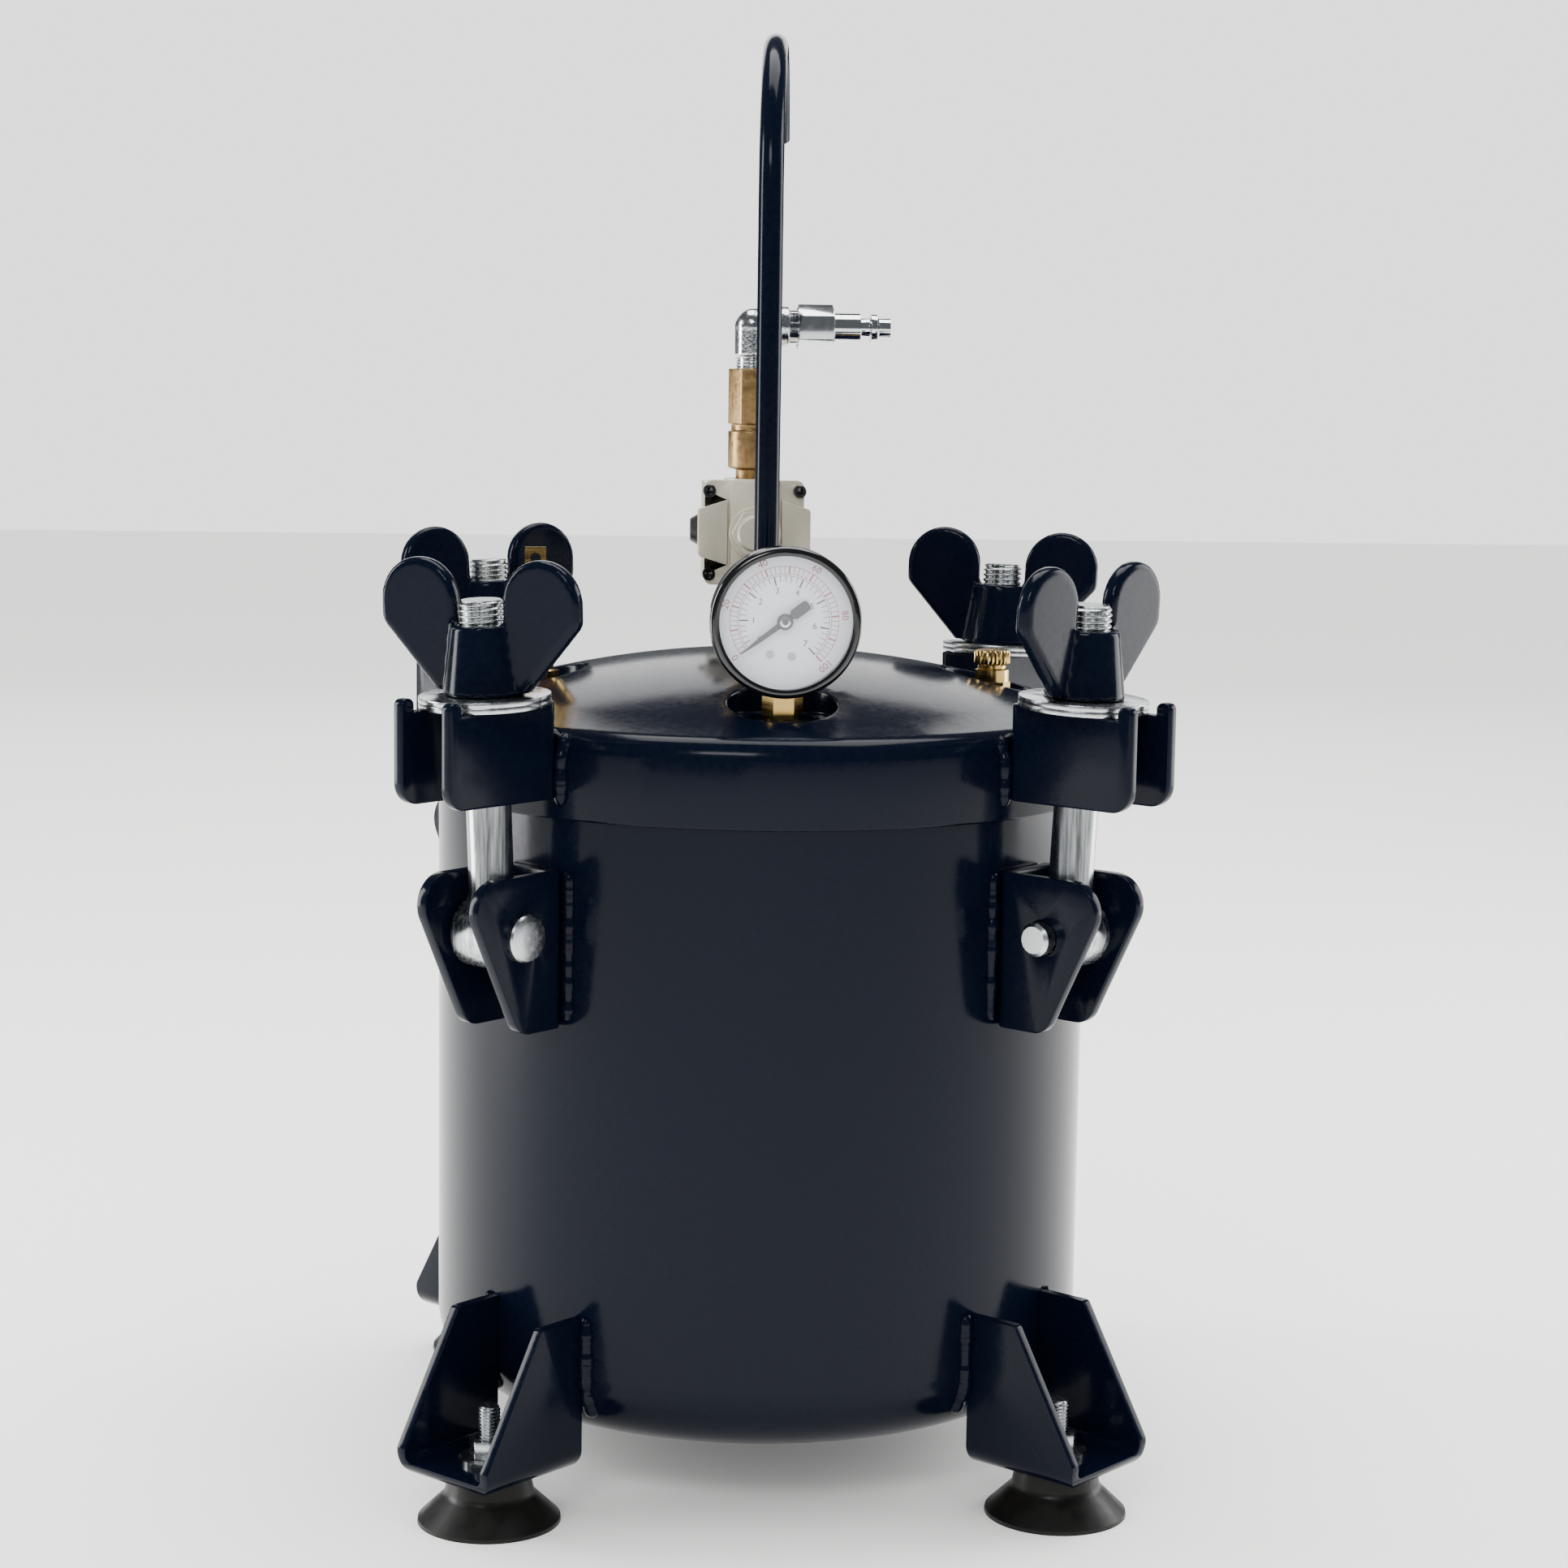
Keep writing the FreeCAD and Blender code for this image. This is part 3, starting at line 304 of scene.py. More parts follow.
def eased(piece: bpy.types.Object, width: float, segments: int = 3, **settings: object) -> bpy.types.Object:
    """Round the sharp edges of a plate or casting.

    Args:
        piece: The object to change.
        width: Width of the rounding in millimetres.
        segments: Faces across it.
        **settings: Further properties of the bevel.

    Returns:
        The same object.
    """
    return modify(piece, "BEVEL", width=width * MM, segments=segments, limit_method="ANGLE",
                  angle_limit=EASE_ANGLE, **settings)


def turned(profile: Profile, segments: int = 48) -> bpy.types.Object:
    """Turn a solid about Z by extruding a disc from ring to ring.

    Args:
        profile: (radius, height) of each ring in millimetres, from the bottom up.
        segments: Flats round the axis.

    Returns:
        A closed solid, its axis on Z.
    """
    radius, height = profile[0]
    bpy.ops.object.select_all(action="DESELECT")
    bpy.ops.mesh.primitive_circle_add(vertices=segments, radius=radius * MM, fill_type="NGON",
                                      location=(0, 0, height * MM))
    piece = bpy.context.object
    bpy.ops.object.mode_set(mode="EDIT")
    bpy.ops.mesh.select_all(action="SELECT")
    for next_radius, next_height in profile[1:]:
        bpy.ops.mesh.extrude_region_move(
            TRANSFORM_OT_translate={"value": (0, 0, (next_height - height) * MM)})
        ratio = next_radius / radius
        if abs(ratio - 1) > SAME_RADIUS:
            bpy.ops.transform.resize(value=(ratio, ratio, 1), center_override=(0, 0, next_height * MM))
        radius, height = next_radius, next_height
    bpy.ops.mesh.select_all(action="SELECT")
    bpy.ops.mesh.normals_make_consistent(inside=False)
    bpy.ops.object.mode_set(mode="OBJECT")
    bpy.ops.object.transform_apply(location=True, rotation=True, scale=True)
    return piece


def threaded(crest: float, root: float, pitch: float, low: float, top: float) -> bpy.types.Object:
    """Make a rod with a helical thread and a chamfered tip.

    Args:
        crest: Outer radius in millimetres.
        root: Radius at the bottom of the thread.
        pitch: Rise per turn.
        low: Height of the lower end.
        top: Height of the tip.

    Returns:
        A closed solid, its axis on Z.
    """
    rows = math.ceil((top - low) / pitch * THREAD_ROWS)
    step = (top - low) / rows
    piece = turned([(crest, low + i * step) for i in range(rows + 1)], 48)
    for vertex in piece.data.vertices:
        x, y, z = (v / MM for v in vertex.co)
        turn = math.atan2(y, x) / math.tau
        phase = (z / pitch - turn) % 1.0
        depth = min(1.0, max(0.0, abs(phase * 2 - 1) * THREAD_FLANK - THREAD_TRIM))
        fade = min(1.0, max(0.0, (top - z) / (FADE_TURNS * pitch)))
        radius = (root + (crest - root) * depth * (FADE_FLOOR + (1 - FADE_FLOOR) * fade)
                  - (1 - fade) * TIP_CHAMFER * (crest - root))
        scale = radius / math.hypot(x, y)
        vertex.co = (x * scale * MM, y * scale * MM, z * MM)
    return piece


def knurled(profile: Profile, ribs: int, depth: float,
            band: tuple[float, float]) -> bpy.types.Object:
    """Turn a solid and cut flutes into part of its height.

    Args:
        profile: Rings as for turned().
        ribs: Number of ribs round the axis.
        depth: How deep the flutes are, in millimetres.
        band: Lowest and highest fluted height.

    Returns:
        A closed solid, its axis on Z.
    """
    piece = turned(profile, ribs * 4)
    for vertex in piece.data.vertices:
        x, y, z = (v / MM for v in vertex.co)
        if band[0] - BAND_SLACK <= z <= band[1] + BAND_SLACK:
            turn = math.atan2(y, x) / math.tau * ribs
            radius = math.hypot(x, y)
            cut = depth * (0.5 - 0.5 * math.cos(turn * math.tau))
            vertex.co = (x * (1 - cut / radius) * MM, y * (1 - cut / radius) * MM, z * MM)
    return piece


def copied(piece: bpy.types.Object) -> bpy.types.Object:
    """Copy an object with a mesh of its own, free of any parent or frame tag."""
    twin = piece.copy()
    twin.data = piece.data.copy()
    twin.parent = None
    for key in list(twin.keys()):
        del twin[key]
    bpy.context.scene.collection.objects.link(twin)
    return twin


def merged_copy(node: str) -> bpy.types.Object:
    """Copy a CAD node and weld its loose triangles into one skin.

    Args:
        node: The CAD node's name.

    Returns:
        The copy, flat areas dissolved to single faces.
    """
    piece = pick(copied(frame["nodes"][node]))
    if piece.data.has_custom_normals:
        bpy.ops.mesh.customdata_custom_splitnormals_clear()
    bpy.ops.object.mode_set(mode="EDIT")
    bpy.ops.mesh.select_all(action="SELECT")
    bpy.ops.mesh.remove_doubles(threshold=WELD_GAP)
    bpy.ops.mesh.dissolve_limited(angle_limit=FLAT_ANGLE)
    bpy.ops.object.mode_set(mode="OBJECT")
    return piece


def moved(piece: bpy.types.Object, place: Matrix) -> bpy.types.Object:
    """Put a place given in metres into the piece's mesh."""
    piece.data.transform(place)
    return piece


def joined(pieces: Iterable[bpy.types.Object]) -> bpy.types.Object:
    """Join objects into one mesh.

    Args:
        pieces: At least one object.

    Returns:
        The object that holds them all.
    """
    pieces = list(pieces)
    pick(pieces[0])
    for piece in pieces[1:]:
        piece.select_set(True)
    if len(pieces) > 1:
        bpy.ops.object.join()
    return bpy.context.view_layer.objects.active


def combined(piece: bpy.types.Object, tool: bpy.types.Object, operation: str) -> bpy.types.Object:
    """Unite with, or cut by, another solid, which is then removed."""
    modify(piece, "BOOLEAN", operation=operation, object=tool, solver="EXACT")
    bpy.data.objects.remove(tool)
    return piece


def kept(piece: bpy.types.Object, name: str, body: str, finish: Finish,
         stands_for: Sequence[str] = (), angle: float = 35.0) -> bpy.types.Object:
    """Name, dress and hang a finished piece on its body.

    Args:
        piece: The finished object.
        name: Its name.
        body: The CAD body it moves with.
        finish: Its material.
        stands_for: CAD nodes that it is shown instead of.
        angle: Edges flatter than this are shaded smooth, in degrees.

    Returns:
        The same object.
    """
    piece.name = piece.data.name = name
    pick(piece)
    bpy.ops.object.shade_smooth_by_angle(angle=math.radians(angle))
    SHOP.coat(piece, finish)
    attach(piece, body)
    if stands_for:
        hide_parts(*stands_for)
    LOG.info("%s: %d faces", name, len(piece.data.polygons))
    return piece


def station_place(angle: float) -> Matrix:
    """Place of a clamp station: X runs outward from the pot's axis."""
    return Matrix.Rotation(math.radians(angle), 4, "Z")


def bolt_place(angle: float) -> Matrix:
    """Place on a leaning swing bolt, with Z up the bolt from the clevis pin."""
    pin = Matrix.Translation((PIN_REACH * MM, 0, PIN_HEIGHT * MM))
    return station_place(angle) @ pin @ Matrix.Rotation(math.radians(BOLT_LEAN), 4, "Y")


def fitting_place(x: float, y: float) -> Matrix:
    """Upright place at a point of the lid given in millimetres."""
    return Matrix.Translation((x * MM, y * MM, 0))


# --- clamps ---------------------------------------------------------------------------------------------

@dataclass
class SwingClamps:
    """Four clamps: eye bolts, clevis pins, cast wing nuts and bent brackets."""

    bolt_radius: float = 7.9
    thread_root: float = 7.0
    pitch: float = 2.0
    bolt_length: float = 117.4
    thread_start: float = 100.0
    eye_radius: float = 12.5
    eye_width: float = 20.0
    pin_radius: float = 6.0
    pin_head: float = 8.5
    ear_half: float = 15.2
    casting_grain: float = 0.85
    casting_passes: int = 5
    eye_chamfer: float = 1.5
    eye_play: float = 0.1
    root_radius: float = 7.0
    flare: tuple[float, float] = (2.0, 9.0)
    flare_end: float = 15.5
    pin_tail: float = 5.5
    pin_chamfer: tuple[float, float] = (1.2, 1.1)
    head_dome: tuple[tuple[float, float], ...] = ((0.0, 0.0), (0.0, 1.7), (0.6, 2.4), (2.6, 2.85), (5.5, 3.0))
    lid_rounding: float = 0.9
    washer_rounding: float = 0.35
    plate_rounding: dict[str, float] = field(default_factory=lambda: {
        "lid_lug": 0.9, "clamp_bracket": 0.9, "foot_bracket": 0.7})

    def bolt(self) -> bpy.types.Object:
        """Model one bolt: a forged eye, a drawn shank and a cut thread.

        Returns:
            The bolt, its pin at the origin and its shank up Z.
        """
        half = self.eye_width / 2
        cut = self.eye_chamfer
        eye = turned([(self.eye_radius - cut, -half), (self.eye_radius, cut - half),
                      (self.eye_radius, half - cut), (self.eye_radius - cut, half)], 64)
        moved(eye, Matrix.Rotation(QUARTER, 4, "X"))
        shank = turned([(self.root_radius, 0.0), (self.bolt_radius + self.flare[0], self.flare[1]),
                        (self.bolt_radius, self.flare_end), (self.bolt_radius, self.thread_start)], 64)
        combined(eye, shank, "UNION")
        bore = turned([(self.pin_radius + self.eye_play, -self.eye_width),
                       (self.pin_radius + self.eye_play, self.eye_width)])
        combined(eye, moved(bore, Matrix.Rotation(QUARTER, 4, "X")), "DIFFERENCE")
        thread = threaded(self.bolt_radius, self.thread_root, self.pitch, self.thread_start - 1,
                          self.bolt_length)
        return joined([eye, thread])

    def pin(self) -> bpy.types.Object:
        """Model one clevis pin with a domed head.

        Returns:
            The pin in its station's frame.
        """
        low, seat = -self.ear_half - self.pin_tail, self.ear_half + self.eye_play
        head = [(self.pin_head - inset, seat + rise) for inset, rise in self.head_dome]
        inward, along = self.pin_chamfer
        tip = [(self.pin_radius - inward, low), (self.pin_radius, low + along), (self.pin_radius, seat)]
        pin = turned(tip + head)
        moved(pin, Matrix.Rotation(-QUARTER, 4, "X"))
        return moved(pin, Matrix.Translation((PIN_REACH * MM, 0, PIN_HEIGHT * MM)))

    def build(self) -> None:
        """Make the clamps' metalwork at each station."""
        bolt, pin = self.bolt(), self.pin()
        pins = []
        for name, angle in STATIONS.items():
            kept(moved(copied(bolt), bolt_place(angle)), f"eye_bolt_{name}", "pot", ZINC,
                 [f"swing_bolt_{name}"])
            pins.append(moved(copied(pin), station_place(angle)))
            self.casting(name)
            for node, width in self.plate_rounding.items():
                plate = eased(merged_copy(f"{node}_{name}"), width)
                kept(plate, f"bent_{node}_{name}", "pot", NAVY_ENAMEL, [f"{node}_{name}"])
            washer = eased(merged_copy(f"upper_washer_{name}"), self.washer_rounding, 2)
            kept(washer, f"stamped_washer_{name}", f"nut_lift_{name}", STAMPED_ZINC,
                 [f"upper_washer_{name}"])
        lid = eased(merged_copy("lid_shell"), self.lid_rounding, use_clamp_overlap=False)
        kept(lid, "eased_lid", "pot", NAVY_ENAMEL, ["lid_shell"])
        lower = eased(merged_copy("lower_washers"), self.washer_rounding, 2)
        kept(lower, "stamped_lower_washers", "pot", STAMPED_ZINC, ["lower_washers"])
        kept(joined(pins), "headed_clevis_pins", "pot", STAMPED_ZINC, ["clevis_pins"])
        for spare in (bolt, pin):
            bpy.data.objects.remove(spare)

    def casting(self, name: str) -> None:
        """Round a wing nut all over, as a sand casting comes from its mould."""
        nut = modify(merged_copy(f"wing_nut_{name}"), "REMESH", mode="VOXEL",
                     voxel_size=self.casting_grain * MM)
        modify(nut, "SMOOTH", factor=0.5, iterations=self.casting_passes)
        kept(nut, f"cast_wing_nut_{name}", f"wing_nut_{name}", NAVY_ENAMEL,
             [f"wing_nut_{name}"], CAST_SHADE)


# --- weld seams -----------------------------------------------------------------------------------------

@dataclass
class WeldSeams:
    """Lumpy hand-laid weld beads under the enamel."""

    ripple: float = 2.7
    sides: int = 3
    pot_radius: float = 123.0
    knuckle: float = 25.0
    knuckle_height: float = 51.5
    lump_range: tuple[float, float] = (0.78, 1.18)
    ripple_depth: float = 0.09
    taper: tuple[float, float] = (0.45, 0.25)
    lug_reach: float = 125.2
    lug_half: float = 14.6
    shoulder: tuple[float, float] = (274, 0.35)
    lug_radius: float = 3.0
    ear_half: float = 15.6
    ear_proud: float = 0.2
    ear_aside: float = 16.0
    ear_radius: float = 2.5
    foot_half: float = 24.4
    foot_aside: float = 24.2
    foot_radius: float = 3.1
    crown: tuple[float, float] = (123.6, 281.5)
    crown_radius: float = 2.4
    lug_span: tuple[int, int] = (258, 284)
    ear_span: tuple[int, int] = (181, 235)
    foot_span: tuple[int, int] = (37, 75)
    crown_span: tuple[int, int] = (-13, 14)
    handle: tuple[float, float] = (5.3, 304.3)
    handle_radius: float = 2.0
    handle_spots: int = 32
    dice: random.Random = field(default_factory=lambda: random.Random(7))

    def bead(self, path: Sequence[Vector], radius: float, closed: bool = False) -> bpy.types.Object:
        """Lay a bead along a path.

        Args:
            path: Points about a millimetre apart, in millimetres.
            radius: The bead's mean radius.
            closed: Whether the last point joins the first.

        Returns:
            The bead as a closed mesh.
        """
        curve = bpy.data.curves.new("bead", "CURVE")
        curve.dimensions = "3D"
        curve.bevel_depth = MM
        curve.bevel_resolution = self.sides
        curve.use_fill_caps = True
        line = curve.splines.new("POLY")
        line.points.add(len(path) - 1)
        line.use_cyclic_u = closed
        lump = 1.0
        for i, spot in enumerate(path):
            if i % 3 == 0:
                lump = self.dice.uniform(*self.lump_range)
            least, gain = self.taper
            end = 1.0 if closed else min(1.0, least + gain * min(i, len(path) - 1 - i))
            wave = 1 + self.ripple_depth * math.sin(i * math.tau / self.ripple)
            line.points[i].co = (*(spot * MM), 1.0)
            line.points[i].radius = radius * lump * end * wave
        piece = bpy.data.objects.new("bead", curve)
        bpy.context.scene.collection.objects.link(piece)
        pick(piece)
        bpy.ops.object.convert(target="MESH")
        return modify(bpy.context.object, "SMOOTH", factor=0.5, iterations=2)

    def surface(self, height: float, aside: float) -> float:
        """Reach of the pot's side at a height and a sideways offset.

        Args:
            height: Height above the floor.
            aside: Distance from the station's middle plane.

        Returns:
            Distance from the pot's axis along the station, in millimetres.
        """
        drop = max(0.0, self.knuckle_height - height)
        inside = self.pot_radius - self.knuckle
        radius = inside + math.sqrt(max(0.0, self.knuckle ** 2 - drop ** 2))
        return math.sqrt(radius ** 2 - aside ** 2)

    def station(self) -> list[bpy.types.Object]:
        """Lay one station's beads: lug to lid, ears to pot, foot to pot.

        Returns:
            The beads in the station's frame.
        """
        beads = []
        bend, slope = self.shoulder
        for side in (-1, 1):
            beads.append(self.bead([Vector((self.lug_reach - max(0, z - bend) * slope,
                                            side * self.lug_half, z))
                                    for z in range(*self.lug_span)], self.lug_radius))
            beads.append(self.bead([Vector((self.surface(z, self.ear_half) + self.ear_proud,
                                            side * self.ear_aside, z))
                                    for z in range(*self.ear_span)], self.ear_radius))
            beads.append(self.bead([Vector((self.surface(z, self.foot_half), side * self.foot_aside, z))
                                    for z in range(*self.foot_span)], self.foot_radius))
        reach, height = self.crown
        beads.append(self.bead([Vector((reach, y, height)) for y in range(*self.crown_span)],
                               self.crown_radius))
        return beads

    def build(self) -> None:
        """Lay the beads at every station and round the handle's foot."""
        pattern = joined(self.station())
        for name, angle in STATIONS.items():
            kept(moved(copied(pattern), station_place(angle)), f"weld_beads_{name}", "pot",
                 NAVY_ENAMEL, angle=CAST_SHADE)
        bpy.data.objects.remove(pattern)
        reach, height = self.handle
        turns = [i * math.tau / self.handle_spots for i in range(self.handle_spots)]
        ring = [Vector((reach * math.cos(turn), reach * math.sin(turn), height)) for turn in turns]
        kept(self.bead(ring, self.handle_radius, closed=True), "weld_bead_handle", "pot",
             NAVY_ENAMEL, angle=CAST_SHADE)


# --- feet -----------------------------------------------------------------------------------------------

@dataclass
class FootHardware:
    """Threaded studs that hold the suction feet."""

    circle: float = 144.75
    crest: float = 3.95
    root: float = 3.3
    pitch: float = 1.25
    low: float = 11.0
    top: float = 42.0
    thread_low: float = 28.0
    overlap: float = 0.5
    nut_rounding: float = 0.5

    def build(self) -> None:
        """Make the four studs."""
        plain = turned([(self.crest, self.low), (self.crest, self.thread_low + self.overlap)], 32)
        stud = joined([plain, threaded(self.crest, self.root, self.pitch, self.thread_low, self.top)])
        moved(stud, fitting_place(self.circle, 0))
        studs = [moved(copied(stud), station_place(angle)) for angle in STATIONS.values()]
        bpy.data.objects.remove(stud)
        kept(joined(studs), "threaded_foot_studs", "pot", STAMPED_ZINC, ["foot_studs"])
        nuts = eased(merged_copy("foot_nuts"), self.nut_rounding, 2)
        kept(nuts, "chamfered_foot_nuts", "pot", STAMPED_ZINC, ["foot_nuts"])


# --- gauge ----------------------------------------------------------------------------------------------

@dataclass
class PressureGauge:
    """The dial's printed scales and the needle's boss."""

    height: float = 322.3
    face: float = -91.1
    zero: float = 217.0
    sweep: float = 264.0
    roll: float = -5.0
    ink: float = 0.06
    outer_band: tuple[float, float] = (16.7, 19.3)
    inner_band: tuple[float, float] = (13.8, 16.0)
    outer_digits: tuple[float, float] = (21.4, 2.5)
    inner_digits: tuple[float, float] = (10.9, 2.3)
    outer_ticks: int = 50
    inner_ticks: int = 35
    bold_every: int = 5
    bold: float = 0.5
    fine: float = 0.2
    outer_line: float = 0.18
    inner_line: float = 0.16
    bold_reach: float = 1.0
    inner_fine: float = 0.22
    digit_share: float = 0.72
    arc_start: float = 0.02
    arc_steps: int = 132
    boss_profile: Profile = ((2.9, 94.2), (2.9, 94.7), (2.7, 94.9), (1.2, 94.9))
    cap_profile: Profile = ((2.25, 94.85), (2.25, 95.2), (1.9, 95.55), (0.9, 95.65))

    def place(self, level: float) -> Matrix:
        """Place on the dial: X right, Y up, Z towards the viewer, at a distance along Y of the pot."""
        return Matrix.Translation((0, level * MM, self.height * MM)) @ Matrix.Rotation(QUARTER, 4, "X")

    def bearing(self, share: float) -> float:
        """Direction of a share of full scale, in radians from the viewer's right."""
        return math.radians(self.zero - self.sweep * share)

    def tick(self, share: float, band: tuple[float, float], width: float) -> bpy.types.Object:
        """Draw one tick across a band.

        Args:
            share: Share of full scale.
            band: Inner and outer radius.
            width: The line's width.

        Returns:
            The tick on the dial's plane.
        """
        angle = self.bearing(share)
        mid = (band[0] + band[1]) / 2 * MM
        bpy.ops.object.select_all(action="DESELECT")
        bpy.ops.mesh.primitive_plane_add(size=1, location=(0, 0, 0))
        mark = bpy.context.object
        moved(mark, Matrix.Diagonal(((band[1] - band[0]) * MM, width * MM, 1, 1)))
        moved(mark, Matrix.Rotation(angle, 4, "Z") @ Matrix.Translation((mid, 0, 0)))
        return mark

    def arc(self, radius: float, width: float) -> bpy.types.Object:
        """Draw a scale's base line as a flat strip that a spin sweeps.

        Args:
            radius: Middle radius.
            width: The line's width.

        Returns:
            The strip on the dial's plane.
        """
        first = self.bearing(0)
        bpy.ops.object.select_all(action="DESELECT")
        bpy.ops.mesh.primitive_plane_add(size=1, location=(0, 0, 0))
        strip = bpy.context.object
        moved(strip, Matrix.Rotation(first, 4, "Z") @ Matrix.Translation((radius * MM, 0, 0))
              @ Matrix.Diagonal((width * MM, self.arc_start * MM, 1, 1)))
        bpy.ops.object.mode_set(mode="EDIT")
        bpy.ops.mesh.select_all(action="SELECT")
        bpy.ops.mesh.delete(type="ONLY_FACE")
        along = Vector((math.cos(first), math.sin(first), 0))
        bpy.ops.object.mode_set(mode="OBJECT")
        side = Vector((-along.y, along.x, 0))
        for vertex in strip.data.vertices:
            vertex.select = vertex.co.dot(side) > 0
        for edge in strip.data.edges:
            edge.select = all(strip.data.vertices[i].select for i in edge.vertices)
        bpy.ops.object.mode_set(mode="EDIT")
        bpy.ops.mesh.select_all(action="INVERT")
        bpy.ops.mesh.delete(type="VERT")
        bpy.ops.mesh.select_all(action="SELECT")
        bpy.ops.mesh.spin(steps=self.arc_steps, angle=math.radians(self.sweep), center=(0, 0, 0),
                          axis=(0, 0, 1))
        bpy.ops.object.mode_set(mode="OBJECT")
        return strip

    def number(self, text: str, share: float, radius: float, tall: float,
               upright: bool) -> bpy.types.Object:
        """Print one number.

        Args:
            text: The digits.
            share: Share of full scale.
            radius: Distance of its middle from the dial's centre.
            tall: Height of the digits.
            upright: Level with the dial, or turned to stand on the scale.

        Returns:
            The number as a mesh on the dial's plane.
        """
        angle = self.bearing(share)
        bpy.ops.object.select_all(action="DESELECT")
        bpy.ops.object.text_add(location=(0, 0, 0))
        mark = bpy.context.object
        mark.data.body = text
        mark.data.size = tall / self.digit_share * MM
        mark.data.align_x, mark.data.align_y = "CENTER", "CENTER"
        mark.data.resolution_u = 3
        bpy.ops.object.convert(target="MESH")
        mark = bpy.context.object
        lean = math.radians(self.roll) if upright else angle - QUARTER
        spot = Matrix.Translation((radius * math.cos(angle) * MM, radius * math.sin(angle) * MM, 0))
        return moved(mark, spot @ Matrix.Rotation(lean, 4, "Z"))

    def printed(self, marks: list[bpy.types.Object], name: str, finish: Finish) -> None:
        """Raise flat marks to the ink's thickness and fix them to the dial."""
        piece = joined(marks)
        bpy.ops.object.mode_set(mode="EDIT")
        bpy.ops.mesh.select_all(action="SELECT")
        bpy.ops.mesh.remove_doubles(threshold=1e-7)
        bpy.ops.mesh.normals_make_consistent(inside=False)
        bpy.ops.mesh.extrude_region_move(TRANSFORM_OT_translate={"value": (0, 0, self.ink * MM)})
        bpy.ops.mesh.select_all(action="SELECT")
        bpy.ops.mesh.normals_make_consistent(inside=False)
        bpy.ops.object.mode_set(mode="OBJECT")
        moved(piece, self.place(self.face))
        kept(piece, name, "pot", finish)

    def build(self) -> None:
        """Print both scales and fit the needle's boss."""
        far, tall = self.outer_digits
        red = [self.arc(radius, self.outer_line) for radius in self.outer_band]
        red += [self.tick(i / self.outer_ticks, self.outer_band,
                          self.bold if i % self.bold_every == 0 else self.fine)
                for i in range(self.outer_ticks + 1)]
        red += [self.number(str(v), v / 100, far, tall, False) for v in range(0, 101, 20)]
        self.printed(red, "dial_scale_outer", RED_INK)
        black = [self.arc(self.inner_band[1], self.inner_line)]
        for i in range(self.inner_ticks + 1):
            strong = i % self.bold_every == 0
            band = (self.inner_band[0] - (self.bold_reach if strong else 0), self.inner_band[1])
            black.append(self.tick(i / self.inner_ticks, band, self.bold if strong else self.inner_fine))
        far, tall = self.inner_digits
        black += [self.number(str(v), v / 7, far, tall, True) for v in range(8)]
        self.printed(black, "dial_scale_inner", BLACK_INK)
        boss, cap = turned(self.boss_profile, 40), turned(self.cap_profile, 40)
        turn = self.place(0)
        kept(moved(boss, turn), "needle_boss", "needle", BLACK_GLOSS)
        kept(moved(cap, turn), "needle_cap", "needle", CHROME)


# --- regulator, inlet and valves ------------------------------------------------------------------------

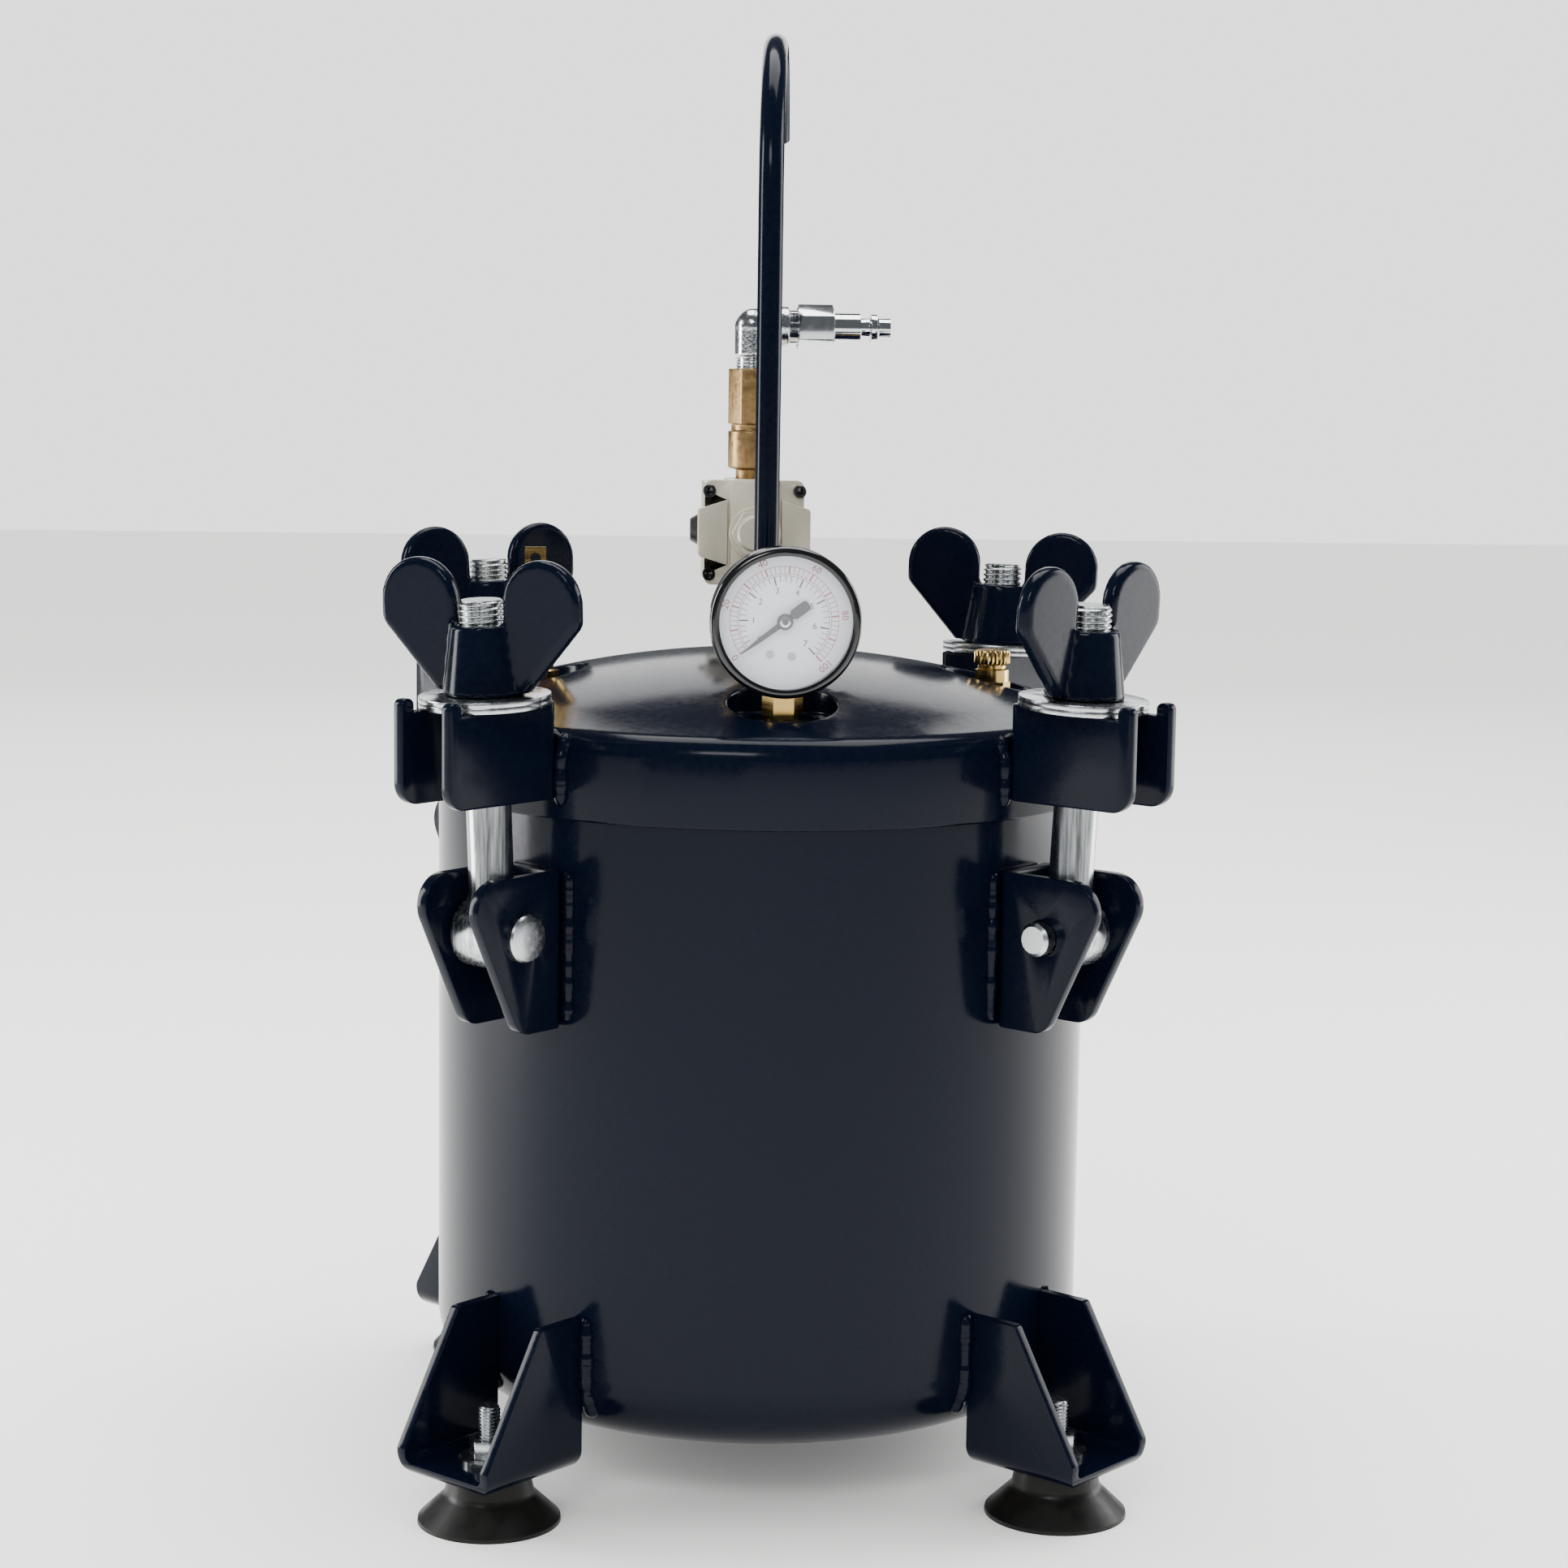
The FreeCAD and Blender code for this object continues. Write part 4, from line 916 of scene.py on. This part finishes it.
@dataclass
class AirFittings:
    """Regulator's knob and screws, inlet threads and elbow, bleed valve's cap."""

    front: float = 67.0
    middle: float = 344.3
    screw_x: float = 18.05
    screw_z: float = 16.5
    screw_profile: Profile = ((1.6, -12.0), (1.6, 0.0), (2.6, 0.0), (2.6, 1.35), (2.35, 1.6), (1.5, 1.6),
                              (1.45, 0.4), (0.4, 0.2))
    knob_profile: Profile = ((14.8, 0), (16.4, 0.6), (17.0, 1.6), (17.0, 10.0), (17.0, 17.6), (16.2, 19.2),
                             (14.6, 20.0), (8.0, 20.0), (7.6, 19.4), (1.0, 19.4))
    knob_bore: Profile = ((14.8, -1), (14.8, 8.5))
    knob_flutes: tuple[float, float] = (1.6, 17.6)
    knob_ribs: int = 30
    knob_depth: float = 0.9
    knob_seat: float = 120.5
    inlet_axis: float = 425.7
    pipe_thread: tuple[float, float, float] = (6.9, 6.2, 1.3)
    elbow_thread: tuple[float, float] = (408.7, 414.2)
    plug_thread: tuple[float, float] = (13.9, 18.0)
    forging_grain: float = 0.4
    forging_passes: int = 6
    cap_profile: Profile = ((6.2, 299.0), (6.9, 299.5), (6.9, 301.6), (6.9, 303.7), (6.3, 304.35),
                            (2.0, 304.4), (1.8, 303.6), (0.4, 303.5))
    cap_knurl: tuple[float, float] = (299.4, 303.8)
    cap_ribs: int = 26
    cap_depth: float = 0.55

    def socket_screws(self) -> None:
        """Make the four cover screws with their sockets."""
        screws = []
        for x in (-self.screw_x, self.screw_x):
            for z in (-self.screw_z, self.screw_z):
                screw = turned(self.screw_profile, 24)
                moved(screw, Matrix.Translation((x * MM, self.front * MM, (self.middle + z) * MM))
                      @ Matrix.Rotation(QUARTER, 4, "X"))
                screws.append(screw)
        kept(joined(screws), "socket_screws", "pot", BLACK_GLOSS, ["regulator_screws"])

    def knob(self) -> None:
        """Make the fluted pressure knob."""
        knob = knurled(self.knob_profile, self.knob_ribs, self.knob_depth, self.knob_flutes)
        combined(knob, turned(self.knob_bore, 64), "DIFFERENCE")
        place = (Matrix.Translation((0, self.knob_seat * MM, self.middle * MM))
                 @ Matrix.Rotation(-QUARTER, 4, "X"))
        kept(moved(knob, place), "fluted_knob", "knob", PLASTIC, ["regulator_knob"])

    def elbow(self) -> None:
        """Give the forged elbow its soft corners and its neighbours their threads."""
        elbow = modify(merged_copy("inlet_elbow"), "REMESH", mode="VOXEL", voxel_size=self.forging_grain * MM)
        modify(elbow, "SMOOTH", factor=0.5, iterations=self.forging_passes)
        kept(elbow, "forged_elbow", "pot", FORGED_CHROME, ["inlet_elbow"], CAST_SHADE)
        thread = moved(threaded(*self.pipe_thread, *self.elbow_thread), fitting_place(0, FITTING_CIRCLE))
        kept(thread, "elbow_thread", "pot", CHROME)
        plug = threaded(*self.pipe_thread, *self.plug_thread)
        moved(plug, Matrix.Translation((0, FITTING_CIRCLE * MM, self.inlet_axis * MM))
              @ Matrix.Rotation(QUARTER, 4, "Y"))
        kept(plug, "plug_thread", "pot", CHROME)
        # The inlet coupling's dull brass carries painted shade in its darker brown.
        for node, finish, slot, width in (("quick_plug", CHROME, Slot.CHROME, 0.5),
                                          ("inlet_coupling", SHADED_DULL_BRASS, Slot.BRASS, 0.6),
                                          ("regulator_cap", CHAMPAGNE, Slot.NICKEL, 0.5),
                                          ("regulator_body", CHAMPAGNE, Slot.NICKEL, 0.5)):
            kept(eased(merged_copy(node), width), f"eased_{node}", "pot", finish, [node])

    def bleed_cap(self) -> None:
        """Make the knurled cap of the bleed valve."""
        cap = knurled(self.cap_profile, self.cap_ribs, self.cap_depth, self.cap_knurl)
        kept(moved(cap, fitting_place(FITTING_CIRCLE, 0)), "knurled_bleed_cap", "bleed_cap",
             BRASS, ["bleed_valve_cap"])

    def build(self) -> None:
        """Make the fittings in turn."""
        self.socket_screws()
        self.knob()
        self.elbow()
        self.bleed_cap()


# --- studio ---------------------------------------------------------------------------------------------

@dataclass(frozen=True)
class Softbox:
    """One rectangular light: where it hangs, what it faces, its size in metres and its power."""

    name: str
    at: tuple[float, float, float]
    aim: tuple[float, float, float]
    width: float
    tall: float
    watts: float


@dataclass
class Studio:
    """Plain pale floor, soft lights and the camera."""

    camera_at: tuple[float, float, float] = (-0.09095, -1.2326, 0.4176)
    heading: float = 4.59
    tilt: float = 7.61
    roll: float = 0.84
    lens: float = 75.0
    sensor: float = 36.0
    backdrop: float = 2.2
    room_glow: float = 0.18
    lights: tuple[Softbox, ...] = (
        Softbox("overhead", (0.1, 0.3, 1.8), (0, 0, 0.3), 1.4, 1.0, 30),
        Softbox("back_wall", (0.0, 2.4, 1.2), (0, 0, 0.35), 2.4, 0.9, 16),
        Softbox("left_strip", (-1.5, 0.2, 0.5), (0, 0, 0.3), 0.4, 1.2, 26),
        Softbox("right_wall", (1.6, 0.5, 0.5), (0, 0, 0.25), 0.9, 1.4, 26),
        Softbox("front_fill", (-0.6, -1.9, 1.6), (0, 0, 0.3), 0.7, 0.5, 14))

    def build_camera(self) -> None:
        """Set the camera from its heading, tilt and roll."""
        h, t, r = (math.radians(v) for v in (self.heading, self.tilt, self.roll))
        level = Vector((math.sin(h), math.cos(h), 0))
        forward = (level * math.cos(t) - Vector((0, 0, math.sin(t)))).normalized()
        right = level.cross(Vector((0, 0, 1)))
        up = right.cross(forward)
        across = right * math.cos(r) + up * math.sin(r)
        above = up * math.cos(r) - right * math.sin(r)
        data = bpy.data.cameras.new("camera")
        data.lens, data.sensor_width, data.clip_start = self.lens, self.sensor, 0.01
        camera = bpy.data.objects.new("camera", data)
        bpy.context.scene.collection.objects.link(camera)
        camera.matrix_world = Matrix.Translation(self.camera_at) @ Matrix(
            (across, above, -forward)).transposed().to_4x4()
        bpy.context.scene.camera = camera

    def build_lights(self) -> None:
        """Hang the softboxes and set the room's light."""
        for box in self.lights:
            data = bpy.data.lights.new(box.name, "AREA")
            data.shape, data.size, data.size_y, data.energy = "RECTANGLE", box.width, box.tall, box.watts
            light = bpy.data.objects.new(box.name, data)
            light.visible_camera = False
            bpy.context.scene.collection.objects.link(light)
            way = Vector(box.aim) - Vector(box.at)
            facing = way.to_track_quat("-Z", "Y").to_matrix().to_4x4()
            light.matrix_world = Matrix.Translation(box.at) @ facing
        world = bpy.data.worlds.new("room")
        bpy.context.scene.world = world
        world.use_nodes = True
        tree = world.node_tree
        tree.nodes.clear()
        seen = add_node(tree, "ShaderNodeLightPath")
        pale = add_node(tree, "ShaderNodeBackground",
                        values={"Color": linear("#f6f6f6"), "Strength": self.backdrop})
        room = add_node(tree, "ShaderNodeBackground",
                        values={"Color": linear("#dfe4ea"), "Strength": self.room_glow})
        mix = add_node(tree, "ShaderNodeMixShader", links={0: seen.outputs["Is Glossy Ray"],
                                                           1: pale.outputs[0], 2: room.outputs[0]})
        add_node(tree, "ShaderNodeOutputWorld", links={"Surface": mix.outputs[0]})

    def build_floor(self) -> None:
        """Lay the floor."""
        bpy.ops.object.select_all(action="DESELECT")
        bpy.ops.mesh.primitive_plane_add(size=12, location=(0, 0, 0))
        floor = bpy.context.object
        floor.name = "floor"
        SHOP.coat(floor, Finish("pale_floor_paint", "#f2f2f0", "#f2f2f0", roughness=0.7, grain_mm=50.0))

    def build(self) -> None:
        """Set up the whole studio."""
        self.build_floor()
        self.build_lights()
        self.build_camera()


def main() -> None:
    """Dress the frame, add the fine pieces and set the studio."""
    logging.basicConfig(level=logging.INFO, format="%(name)s: %(message)s")
    SHOP.coat_frame()
    for group in (SwingClamps(), WeldSeams(), FootHardware(), PressureGauge(), AirFittings(), Studio()):
        group.build()
        LOG.info("built %s", type(group).__name__)


if __name__ == "__main__":
    main()
